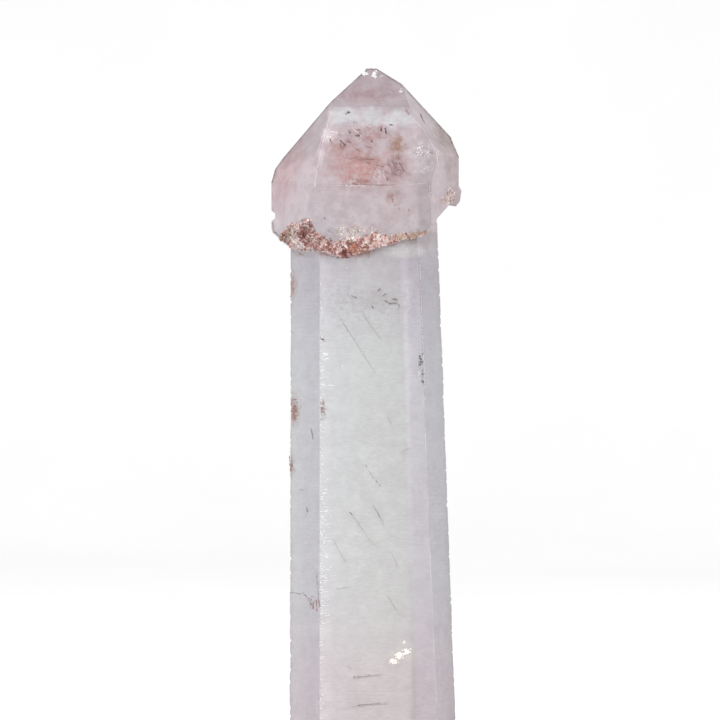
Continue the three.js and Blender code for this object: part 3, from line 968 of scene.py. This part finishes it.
def quartz_material():
    material, tree, shader = new_material("clear_quartz")
    place = object_place(tree)
    split = add_node(tree, "SeparateXYZ", {"Vector": place}).outputs
    up = map_range(tree, split["Z"], 0.0, TINT_TOP * MM)
    colour = paint_stem_shading(tree, split, colour_ramp(tree, up, HEIGHT_TINTS))
    grain = map_range(tree, noise(tree, place, 2300, 2), 0.38, 0.60, 0.78, 1.1)
    colour = add_haze(tree, colour, grain)
    # fine growth lines across the faces, and a faint mottle
    lines = noise(tree, vector_maths(tree, "MULTIPLY", place, GROWTH_LINES), 1.0, 4)
    low, high = HEAD_MOTTLE
    in_head = map_range(tree, split["Z"], low * MM, high * MM)
    contrast = map_range(tree, in_head, 0.0, 1.0, 0.26, 0.10)
    shade = maths(tree, "MULTIPLY_ADD", maths(tree, "SUBTRACT", lines, 0.5), contrast, 1.0)
    mottle = add_mottle(tree, (0.90, 0.87, 0.88), (1.06, 1.06, 1.06), (0.80, 0.71, 0.72), 600, 2000, 0.4)
    amount = map_range(tree, in_head, 0.0, 1.0, 0.4, 1.0)
    colour = scaled(tree, mixed(tree, amount, colour, mottle["Color"], "MULTIPLY"), shade)
    # darker where the skin turns away at the outline
    turned = add_node(tree, "LayerWeight", {}).outputs["Facing"]
    colour = scaled(tree, colour, map_range(tree, turned, 0.62, 0.95, 1.0, OUTLINE_SHADE))
    tree.links.new(colour, shader.inputs["Base Color"])
    shader.inputs["Roughness"].default_value = 0.2
    shader.inputs["IOR"].default_value = QUARTZ_IOR
    shader.inputs["Transmission Weight"].default_value = 0.5
    add_bump(tree, shader, lines, 0.5, 0.04)
    absorption = add_node(tree, "VolumeAbsorption", {"Color": (0.87, 0.86, 0.88, 1), "Density": 45})
    tree.links.new(absorption.outputs["Volume"], tree.nodes["Material Output"].inputs["Volume"])
    return material


def worn_edge_material():
    """Chipped, frosted quartz."""
    material, tree, shader = new_material("worn_edge")
    colour = add_mottle(tree, (0.72, 0.68, 0.70), (0.93, 0.92, 0.94), (0.60, 0.54, 0.55), 1100, 3400, 0.6)
    tree.links.new(colour["Color"], shader.inputs["Base Color"])
    shader.inputs["Roughness"].default_value = 0.35
    shader.inputs["IOR"].default_value = QUARTZ_IOR
    shader.inputs["Transmission Weight"].default_value = 0.3
    add_bump(tree, shader, colour["Height"], 0.6, 0.04)
    return material


# Build

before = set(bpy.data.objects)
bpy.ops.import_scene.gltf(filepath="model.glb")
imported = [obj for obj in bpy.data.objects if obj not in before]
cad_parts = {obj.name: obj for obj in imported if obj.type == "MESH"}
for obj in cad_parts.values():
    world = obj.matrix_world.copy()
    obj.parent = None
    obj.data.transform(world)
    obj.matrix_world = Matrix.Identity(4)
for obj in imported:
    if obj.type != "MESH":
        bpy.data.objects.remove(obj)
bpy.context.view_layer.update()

QUARTZ = quartz_material()
WORN_EDGE = worn_edge_material()
CRUST_MATERIALS = [
    mineral("rust_dark", (0.17, 0.055, 0.050), (0.25, 0.095, 0.085), (0.36, 0.20, 0.175), 0.6, 0.5, 900),
    mineral("rust", (0.46, 0.225, 0.195), (0.31, 0.13, 0.11), (0.62, 0.42, 0.385), 0.6, 0.5, 900),
    mineral("pinkish_crust", (0.76, 0.55, 0.52), (0.60, 0.39, 0.365), (0.86, 0.74, 0.71), 0.55, 0.5, 900),
    mineral("olive_crust", (0.49, 0.38, 0.29), (0.32, 0.22, 0.17), (0.68, 0.58, 0.49), 0.6, 0.5, 900),
    mineral("orange_crust", (0.64, 0.29, 0.17), (0.46, 0.18, 0.10), (0.80, 0.54, 0.40), 0.55, 0.5, 900),
    mineral("pale_druse", (0.88, 0.78, 0.755), (0.74, 0.60, 0.575), (0.96, 0.92, 0.91), 0.4, 0.5, 900),
]

crystal = make_stem()
head = make_head()
combine(head, make_notch(), "DIFFERENCE")
combine(crystal, head, "UNION")
combine(crystal, make_side_crystal(), "UNION")
crystal.name = "crystal"
crystal.data.name = "crystal"
crystal.data.shade_smooth()
crystal.data.set_sharp_from_angle(angle=math.radians(SHARP_ANGLE))

crust = make_crust(CRUST_MATERIALS)

ORANGE_HAZE, PINK_HAZE, MAUVE_FLAKE, BROWN_FLAKE, WHITE_VEIL, GREY_FLAKE = range(6)
# Clouds of flakes: columns, rows, depth under the front skin, count, flake sizes, thickness share, material
HEAD_CLOUDS = [
    ((346, 388), (150, 190), (0.3, 2.0), 200, (0.04, 0.16), 0.15, ORANGE_HAZE),
    ((325, 410), (130, 205), (0.3, 3.0), 240, (0.03, 0.14), 0.15, PINK_HAZE),
    ((386, 408), (156, 188), (0.2, 1.4), 170, (0.03, 0.14), 0.2, MAUVE_FLAKE),
    ((390, 409), (134, 155), (0.2, 1.2), 100, (0.03, 0.14), 0.2, BROWN_FLAKE),
    ((328, 352), (130, 154), (0.2, 1.0), 50, (0.03, 0.15), 0.2, MAUVE_FLAKE),
    ((344, 368), (128, 142), (0.2, 0.9), 60, (0.03, 0.15), 0.2, MAUVE_FLAKE),
    ((345, 352), (109, 116), (0.2, 0.6), 12, (0.04, 0.16), 0.2, GREY_FLAKE),
    ((365, 392), (124, 140), (0.2, 1.2), 70, (0.03, 0.14), 0.2, ORANGE_HAZE),
    ((387, 397), (190, 207), (0.2, 1.0), 26, (0.03, 0.14), 0.2, MAUVE_FLAKE),
    ((340, 372), (222, 240), (0.1, 0.8), 60, (0.04, 0.20), 0.25, WHITE_VEIL),
    ((414, 430), (124, 158), (0.2, 1.4), 60, (0.03, 0.14), 0.15, WHITE_VEIL),
    ((425, 436), (148, 160), (0.2, 0.9), 16, (0.04, 0.16), 0.2, BROWN_FLAKE),
    ((345, 400), (84, 104), (0.3, 1.6), 60, (0.03, 0.12), 0.15, PINK_HAZE),
]
STEM_CLOUDS = [
    ((345, 402), (292, 310), (0.3, 3.0), 110, (0.03, 0.16), 0.2, GREY_FLAKE),
    ((325, 420), (262, 340), (0.3, 6.0), 120, (0.03, 0.12), 0.2, GREY_FLAKE),
    ((325, 420), (340, 720), (0.3, 8.0), 200, (0.02, 0.09), 0.2, GREY_FLAKE),
    ((325, 420), (262, 720), (0.3, 8.0), 160, (0.02, 0.10), 0.2, WHITE_VEIL),
]
FLAKE_MATERIALS = [
    mineral("orange_haze", (0.72, 0.36, 0.26), (0.80, 0.48, 0.38), (0.62, 0.25, 0.17), 0.5),
    mineral("pink_haze", (0.80, 0.50, 0.48), (0.84, 0.60, 0.58), (0.70, 0.38, 0.36), 0.5),
    mineral("mauve_flake", (0.26, 0.14, 0.17), (0.36, 0.20, 0.22), (0.16, 0.07, 0.08), 0.45),
    mineral("brown_flake", (0.55, 0.30, 0.20), (0.66, 0.40, 0.28), (0.40, 0.18, 0.10), 0.5),
    mineral("white_veil", (0.90, 0.89, 0.90), (0.95, 0.95, 0.96), (0.84, 0.80, 0.80), 0.4),
    mineral("grey_flake", (0.42, 0.42, 0.42), (0.55, 0.54, 0.53), (0.25, 0.24, 0.23), 0.5),
]


def make_inclusions(name, clouds):
    grains = []
    for cloud in clouds:
        grains.extend(flake_cloud(cloud))
    return grains_object(name, grains, lump_shapes(10, 9), FLAKE_MATERIALS)


# Cracks, scratches, stains, bright chipped lines, painted highlights along edges and painted shade along
# outlines
# on the front: kind, width in mm, then each line's first column and row and its last
CRACK, BROWN_LINE, BRIGHT_SHARD_AND_HIGHLIGHT, GREY_LINE, PALE_LINE_AND_HIGHLIGHT, OUTLINE = range(6)
STROKES = [
    (CRACK, 0.26, (345, 115, 350, 112), (348, 130, 351, 135), (356, 136, 361, 137), (359, 130, 359, 134)),
    (CRACK, 0.20, (340, 141, 346, 147), (330, 140, 332, 144), (381, 128, 381, 132), (389, 125, 394, 126)),
    (CRACK, 0.18, (420, 114, 422, 119), (422, 119, 425, 124), (371, 142, 373, 143), (385, 129, 386, 134)),
    (CRACK, 0.10, (352, 122, 356, 123), (362, 184, 366, 186), (366, 163, 370, 165), (348, 141, 351, 144)),
    (CRACK, 0.07, (392, 162, 394, 166), (397, 170, 402, 172), (386, 178, 388, 182), (356, 180, 358, 183)),
    (BROWN_LINE, 0.13, (395, 166, 397, 171), (391, 170, 393, 175), (399, 163, 402, 169),
     (402, 168, 404, 173)),
    (BROWN_LINE, 0.13, (388, 165, 391, 169), (394, 174, 397, 177), (385, 172, 387, 176),
     (398, 156, 399, 161)),
    (CRACK, 0.10, (324, 219, 326, 220), (328, 231, 330, 232), (408, 210, 409, 212), (398, 209, 400, 211)),
    (CRACK, 0.07, (311, 428, 313, 439), (299, 490, 304, 490), (306, 507, 308, 514), (289, 456, 290, 472)),
    (CRACK, 0.07, (366, 465, 367, 467), (369, 471, 371, 474), (376, 480, 377, 482), (350, 511.5, 352, 514)),
    (CRACK, 0.05, (372, 476, 374, 478), (379, 484, 380, 486), (418, 488, 420, 492), (418, 483, 419, 485)),
    (BROWN_LINE, 0.20, (429, 152, 433, 155), (406, 111, 409, 115), (352, 184, 358, 185.5),
     (340, 144, 343, 149)),
    (BROWN_LINE, 0.12, (316.5, 600, 317, 611), (313, 602, 313.5, 608), (310, 602, 312, 605),
     (319, 600, 320, 606)),
    (BROWN_LINE, 0.14, (391, 196, 393, 204), (386, 196, 388, 200), (358, 159, 374, 160.5),
     (356, 150, 360, 152)),
    (BROWN_LINE, 0.08, (345, 159, 368, 160), (350, 180, 362, 181), (386, 194, 392, 199),
     (392, 195, 393, 203)),
    (BROWN_LINE, 0.08, (355, 186, 395, 186.4), (365, 147, 372, 149), (376, 166, 384, 168),
     (385, 200, 390, 204)),
    (BROWN_LINE, 0.08, (312, 224, 318, 236), (299, 222, 310, 219), (284, 236, 292, 228),
     (370, 247, 395, 246)),
    (BRIGHT_SHARD_AND_HIGHLIGHT, 0.10, (353, 130, 358, 134), (358, 133, 361, 137), (331, 132, 338, 134),
     (326, 137, 331, 138)),
    # soft lines: painted highlights along the head's front edges and its junction with the rim, and a few pale
    # streaks
    (PALE_LINE_AND_HIGHLIGHT, 0.06, (331, 112, 327, 128), (327, 128, 321, 152), (321, 152, 317, 172), (317, 172, 315, 188)),
    (PALE_LINE_AND_HIGHLIGHT, 0.05, (402, 108, 408, 114), (408, 114, 424, 131), (424, 131, 436, 154), (436, 154, 438, 168)),
    (PALE_LINE_AND_HIGHLIGHT, 0.022, (316, 186, 344, 187), (397, 186.5, 426, 184.5), (378, 168, 381, 176),
     (433, 195, 434, 206)),
    (PALE_LINE_AND_HIGHLIGHT, 0.035, (345, 187.2, 396, 187), (429, 188, 430, 202)),
    # painted highlight along the rim's junction, then white shards
    (BRIGHT_SHARD_AND_HIGHLIGHT, 0.04, (346, 186.6, 366, 186.8), (372, 175, 376, 181), (380, 172, 379, 180),
     (368, 127, 372, 128)),
    (BRIGHT_SHARD_AND_HIGHLIGHT, 0.03, (437, 150, 439, 153), (377, 180, 379, 186), (383, 176, 385, 180),
     (340, 133, 344, 135)),
    # painted highlight down the stem's right corner
    (BRIGHT_SHARD_AND_HIGHLIGHT, 0.022, (419.5, 262, 421, 300), (421, 302, 425, 400)),
    # painted shade along the outlines of the crust and the side crystal
    (OUTLINE, 0.10, (272.3, 222, 273.4, 230.5), (273.4, 230.5, 280.6, 237.2), (452, 195, 455, 199)),
    (GREY_LINE, 0.035, (340, 318, 376, 374), (363, 315, 382, 341), (386, 412, 393, 428),
     (373, 505, 384, 522)),
    (CRACK, 0.12, (384, 300, 388, 303), (391, 299, 398, 300), (389, 304, 397, 303), (377, 292, 380, 289)),
    (CRACK, 0.09, (398, 304, 400, 308), (371, 306, 374, 309), (383, 296, 386, 294), (352, 296, 357, 298)),
    (CRACK, 0.055, (289, 594, 294, 593), (295, 594, 301, 594.5), (302, 593, 306, 596), (306, 597, 310, 599)),
    (CRACK, 0.045, (353, 676, 362, 675), (364, 675, 370, 674), (357, 704, 368, 703), (370, 703, 380, 702)),
    (GREY_LINE, 0.05, (351, 678, 384, 673), (349, 706, 389, 702), (363, 262, 366, 266), (346, 664, 352, 668)),
    (GREY_LINE, 0.032, (352, 514, 374, 545), (374, 506, 384, 525), (334, 540, 346, 562),
     (392, 552, 397, 566)),
    (GREY_LINE, 0.04, (400, 452, 411, 447), (336, 588, 352, 586), (316, 570, 319, 605), (388, 596, 398, 612)),
]
# Step from ridge to ridge along a line, in mm, and the share of them left out
STROKE_STEP = 0.13
STROKE_GAPS = 0.08
# Shaded line along the head's outline: the height where it begins, how far inside it lies, its width and step
OUTLINE_FOOT = 83.0
OUTLINE_INSET = 0.06
OUTLINE_WIDTH = 0.11
OUTLINE_STEP = 0.16


def outline_edges():
    """The head's edges that make its outline from the front, from one shoulder over the tip to the other."""
    corners = faceted_polygons(HEAD_PLANES)[0] + AXIS
    corners = corners[corners[:, 2] > OUTLINE_FOOT]
    edges = []
    start = corners[np.argmin(corners[:, 0])]
    while start[0] < corners[:, 0].max() - 1e-6:
        ahead = corners[corners[:, 0] > start[0] + 1e-6]
        steepness = (ahead[:, 2] - start[2]) / (ahead[:, 0] - start[0])
        end = ahead[np.argmax(steepness)]
        edges.append((start, end))
        start = end
    return edges


def make_strokes(materials):
    """Thin ridges of broken length along slightly wandering lines."""
    grains = []
    for kind, width, *lines in STROKES:
        for left, top, right, bottom in lines:
            turn = leaning(math.degrees(math.atan2(top - bottom, right - left)))
            length = math.hypot(right - left, bottom - top) * SCALE
            steps = max(2, int(length / STROKE_STEP))
            for step in range(steps):
                if rng.random() < STROKE_GAPS:
                    continue
                share = (step + 0.2 + rng.random() * 0.6) / steps
                column = left + (right - left) * share + 0.5 * (rng.random() - 0.5)
                row = top + (bottom - top) * share + 0.5 * (rng.random() - 0.5)
                size = (0.10 + 0.1 * rng.random(), 0.04, width * (0.45 + 0.6 * rng.random()))
                grains.append((on_skin(column, row, -0.02), size, turn, kind))
    for start, end in outline_edges():
        along = end - start
        turn = leaning(math.degrees(math.atan2(along[2], along[0])))
        steps = int(np.linalg.norm(along) / OUTLINE_STEP)
        for step in range(steps):
            place = start + along * (step + rng.random()) / steps
            inside = place[0] - math.copysign(OUTLINE_INSET, place[0])
            place = on_skin(inside / SCALE + CENTRE_COLUMN, FOOT_ROW - (place[2] - OUTLINE_INSET) / SCALE)
            width = OUTLINE_WIDTH * (0.4 + 0.8 * rng.random())
            grains.append((place, (0.12 + 0.1 * rng.random(), width, width), turn, OUTLINE))
    return grains_object("hairlines", grains, lump_shapes(6, 10), materials)


RUST_MARK, BLACK_MARK, CREAM_CHIP, WHITE_BEAD_AND_GLINT, EDGE_CHIP = range(5)
ROUND = (1.0, 0.5, 0.7)
STRIPE = (1.5, 0.4, 0.4)
FLAT = (1.2, 0.25, 0.7)
# Small marks on the skin: middle column and row, depth under it, spread in mm (x, depth, z), count, smallest
# and largest size, form, material
SKIN_MARKS = [
    ((292, 286), 0.1, (0.30, 0.2, 1.6), 70, (0.04, 0.15), STRIPE, RUST_MARK),
    ((294, 411), 0.0, (0.42, 0.2, 1.5), 110, (0.05, 0.17), STRIPE, RUST_MARK),
    ((291, 467), 0.0, (0.15, 0.2, 1.1), 30, (0.05, 0.15), STRIPE, RUST_MARK),
    ((323, 409), 0.0, (0.40, 0.02, 1.3), 56, (0.06, 0.18), STRIPE, RUST_MARK),
    ((323, 340), 0.0, (0.28, 0.02, 0.4), 9, (0.06, 0.15), STRIPE, RUST_MARK),
    ((312, 602), 0.0, (0.5, 0.02, 0.8), 50, (0.05, 0.14), ROUND, RUST_MARK),
    ((420.5, 361), 0.0, (0.34, 0.02, 0.9), 40, (0.04, 0.22), ROUND, BLACK_MARK),
    ((422.5, 378), 0.0, (0.24, 0.02, 1.0), 30, (0.04, 0.19), ROUND, BLACK_MARK),
    ((419, 372), 0.0, (0.20, 0.02, 1.0), 14, (0.05, 0.12), ROUND, WHITE_BEAD_AND_GLINT),
    ((394, 660), 0.0, (0.6, 0.02, 0.3), 44, (0.08, 0.30), FLAT, CREAM_CHIP),
    ((399, 655), 0.0, (0.5, 0.02, 0.4), 44, (0.08, 0.30), FLAT, CREAM_CHIP),
    ((407, 650), 0.0, (0.6, 0.02, 0.4), 44, (0.08, 0.28), FLAT, CREAM_CHIP),
    ((404, 641), 0.0, (0.1, 0.02, 0.2), 8, (0.10, 0.20), FLAT, CREAM_CHIP),
    # the white beads at the tip and on the head's right front, down to row 168, are painted glints
    ((365, 73.5), -0.02, (0.40, 0.1, 0.34), 44, (0.10, 0.30), ROUND, WHITE_BEAD_AND_GLINT),
    ((375, 75.5), -0.02, (0.34, 0.1, 0.70), 52, (0.10, 0.32), ROUND, WHITE_BEAD_AND_GLINT),
    ((381.6, 76), 0.0, (0.2, 0.1, 0.2), 10, (0.06, 0.16), ROUND, WHITE_BEAD_AND_GLINT),
    ((400.5, 92), 0.0, (0.2, 0.1, 0.45), 20, (0.06, 0.20), ROUND, WHITE_BEAD_AND_GLINT),
    ((423, 157), 0.0, (1.1, 0.1, 1.3), 60, (0.04, 0.17), ROUND, WHITE_BEAD_AND_GLINT),
    ((418, 149), 0.0, (0.6, 0.1, 0.2), 14, (0.05, 0.17), ROUND, WHITE_BEAD_AND_GLINT),
    ((427, 168), 0.0, (0.4, 0.1, 0.5), 14, (0.04, 0.15), ROUND, WHITE_BEAD_AND_GLINT),
    ((430, 200), 0.05, (0.6, 0.1, 1.8), 26, (0.03, 0.09), ROUND, WHITE_BEAD_AND_GLINT),
    ((378, 175), 0.05, (0.7, 0.1, 0.9), 26, (0.03, 0.10), ROUND, WHITE_BEAD_AND_GLINT),
    ((356, 130), 0.05, (1.6, 0.1, 0.6), 34, (0.03, 0.10), ROUND, WHITE_BEAD_AND_GLINT),
    ((347, 268), 0.0, (0.3, 0.02, 0.12), 6, (0.05, 0.12), ROUND, WHITE_BEAD_AND_GLINT),
    ((342, 366), 0.0, (0.1, 0.02, 0.1), 3, (0.08, 0.12), ROUND, WHITE_BEAD_AND_GLINT),
]
# Bright chips down the left edge of the stem's front face: the edge's column, the rows that they run over, and
# the rows where they are larger and closer
EDGE_COLUMN = 320.4
CHIP_ROWS = (330, 715)
BRIGHT_ROWS = ((345, 386), (470, 625))


def make_skin_marks(materials):
    """Stains, specks and chips on the skin, and painted glints."""
    grains = []
    for (column, row), under, spread, count, (small, large), form, material in SKIN_MARKS:
        middle = on_skin(column, row, under)
        for _ in range(count):
            place = middle + np.clip(rng.normal(size=3) * 0.5, -1, 1) * np.array(spread)
            place[1] += on_skin(place[0] / SCALE + CENTRE_COLUMN, row)[1] - on_skin(column, row)[1]
            size = small + (large - small) * rng.random() ** 2
            turn = None if form is ROUND else np.eye(3)
            grains.append((place, size * np.array(form), turn, material))
    row = CHIP_ROWS[0]
    while row < CHIP_ROWS[1]:
        bright = any(top < row < bottom for top, bottom in BRIGHT_ROWS)
        row += (0.8 if bright else 3.0) + 3.0 * rng.random() ** 2
        reach = (0.14 + 0.80 * rng.random() ** 1.5) * (1.0 if bright else 0.45)
        for _ in range(3):
            column = EDGE_COLUMN + reach / SCALE * (0.2 + 1.5 * rng.random())
            place = on_skin(column, row + 1.6 * (rng.random() - 0.5), 0.01)
            size = reach * (0.2 + 0.5 * rng.random())
            height = 0.020 + (0.04 if bright else 0.015) * rng.random() ** 2
            grains.append((place, (size, 0.03, height), np.eye(3), EDGE_CHIP))
    return grains_object("skin_marks", grains, lump_shapes(8, 10), materials)


MARK_MATERIALS = [
    mineral("rust_stain", (0.36, 0.20, 0.17), (0.22, 0.10, 0.09), (0.56, 0.38, 0.33), 0.5),
    mineral("black_speck", (0.05, 0.045, 0.045), (0.12, 0.10, 0.10), (0.25, 0.22, 0.22), 0.4),
    mineral("cream_chip", (0.86, 0.80, 0.74), (0.92, 0.90, 0.87), (0.72, 0.60, 0.52), 0.3),
    mineral("white_chip_and_glint", (0.93, 0.93, 0.95), (0.88, 0.87, 0.90), (1.0, 1.0, 1.0), 0.25),
    mineral("edge_chip", (0.82, 0.82, 0.86), (0.92, 0.91, 0.95), (0.74, 0.73, 0.77), 0.4),
]
hairlines = make_strokes([
    mineral("crack_dark", (0.13, 0.09, 0.09), (0.24, 0.17, 0.165), (0.07, 0.05, 0.05), 0.6),
    mineral("brown_line", (0.27, 0.145, 0.13), (0.42, 0.26, 0.24), (0.18, 0.09, 0.08), 0.6),
    mineral("bright_shard_and_highlight", (0.78, 0.72, 0.75), (0.90, 0.87, 0.90), (0.66, 0.58, 0.60), 0.3),
    mineral("hairline_grey", (0.28, 0.28, 0.27), (0.42, 0.42, 0.41), (0.18, 0.18, 0.18), 0.6),
    mineral("pale_line_and_highlight", (0.74, 0.65, 0.67), (0.82, 0.75, 0.77), (0.66, 0.56, 0.58), 0.4),
    mineral("edge_shade", (0.20, 0.175, 0.17), (0.28, 0.25, 0.24), (0.14, 0.12, 0.12), 0.6),
])
skin_marks = make_skin_marks(MARK_MATERIALS)
head_flakes = make_inclusions("head_flakes", HEAD_CLOUDS)
stem_flakes = make_inclusions("stem_flakes", STEM_CLOUDS)

for piece in (crystal, crust, head_flakes, stem_flakes, hairlines, skin_marks):
    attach(piece, "root")
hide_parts(NODE)

# Camera, floor and light

PHOTO_SPAN = 93.6  # width of the picture at the crystal, in mm
LENS = 300.0
SENSOR = 36.0
CAMERA_X = -0.80
CAMERA_HEIGHT = 62.14
PICTURE_DEPTH = -3.0  # depth at which the picture's scale holds
CAMERA_Y = PICTURE_DEPTH - LENS / SENSOR * PHOTO_SPAN
camera_data = bpy.data.cameras.new("camera")
camera_data.lens = LENS
camera_data.sensor_width = SENSOR
camera_data.clip_end = 20.0
camera_data.clip_start = 0.01
camera = bpy.data.objects.new("camera", camera_data)
bpy.context.scene.collection.objects.link(camera)
camera.location = (CAMERA_X * MM, CAMERA_Y * MM, CAMERA_HEIGHT * MM)
camera.rotation_euler = (math.radians(90), 0, 0)
bpy.context.scene.camera = camera

# The floor, in mm: how far it runs to the front and to each side, where it begins to curve up behind the
# crystal, the radius of the curve, and the height of the backdrop
FLOOR_FRONT = -1500.0
FLOOR_SIDE = 1600.0
CURVE_START = 1000.0
CURVE_RADIUS = 240.0
CURVE_STEPS = 12
BACKDROP_TOP = 1500.0


def pale_material(name, colour, roughness):
    material, tree, shader = new_material(name)
    soft = add_mottle(tree, colour, tuple(c * 0.985 for c in colour), colour, 12, 60, 0.2)
    tree.links.new(soft["Color"], shader.inputs["Base Color"])
    shader.inputs["Roughness"].default_value = roughness
    return material


def make_sweep():
    """A floor that curves up into a backdrop behind the crystal."""
    corners = []
    polygons = []
    profile = [(FLOOR_FRONT, 0.0), (CURVE_START, 0.0)]
    for step in range(1, CURVE_STEPS + 1):
        turn = math.radians(90 * step / CURVE_STEPS)
        profile.append((CURVE_START + CURVE_RADIUS * math.sin(turn), CURVE_RADIUS * (1 - math.cos(turn))))
    profile.append((CURVE_START + CURVE_RADIUS, BACKDROP_TOP))
    for y, z in profile:
        corners.append((-FLOOR_SIDE, y, z))
        corners.append((FLOOR_SIDE, y, z))
    for i in range(len(profile) - 1):
        polygons.append([2 * i, 2 * i + 1, 2 * i + 3, 2 * i + 2])
    sweep = make_object("floor", np.array(corners), polygons, smooth_angle=40)
    sweep.data.materials.append(pale_material("pale_paper", (0.835, 0.835, 0.835), 0.8))
    return sweep


floor = make_sweep()

world = bpy.data.worlds.new("soft_room")
bpy.context.scene.world = world
world.use_nodes = True
background = world.node_tree.nodes["Background"]
background.inputs["Color"].default_value = (1.0, 1.0, 1.0, 1)
background.inputs["Strength"].default_value = 1.25


def soft_light(name, place, target, width, height, power):
    data = bpy.data.lights.new(name, "AREA")
    data.shape = "RECTANGLE"
    data.size = width * MM
    data.size_y = height * MM
    data.energy = power
    light = bpy.data.objects.new(name, data)
    light.location = Vector(place) * MM
    aim = Vector(target) * MM - light.location
    light.rotation_euler = aim.to_track_quat("-Z", "Y").to_euler()
    bpy.context.scene.collection.objects.link(light)


soft_light("key", place=(-420, -420, 520), target=(0, 0, 60), width=420, height=420, power=0.9)
soft_light("back", place=(150, 380, 520), target=(0, 0, 40), width=500, height=300, power=0.4)

bpy.context.scene.view_settings.view_transform = "Standard"
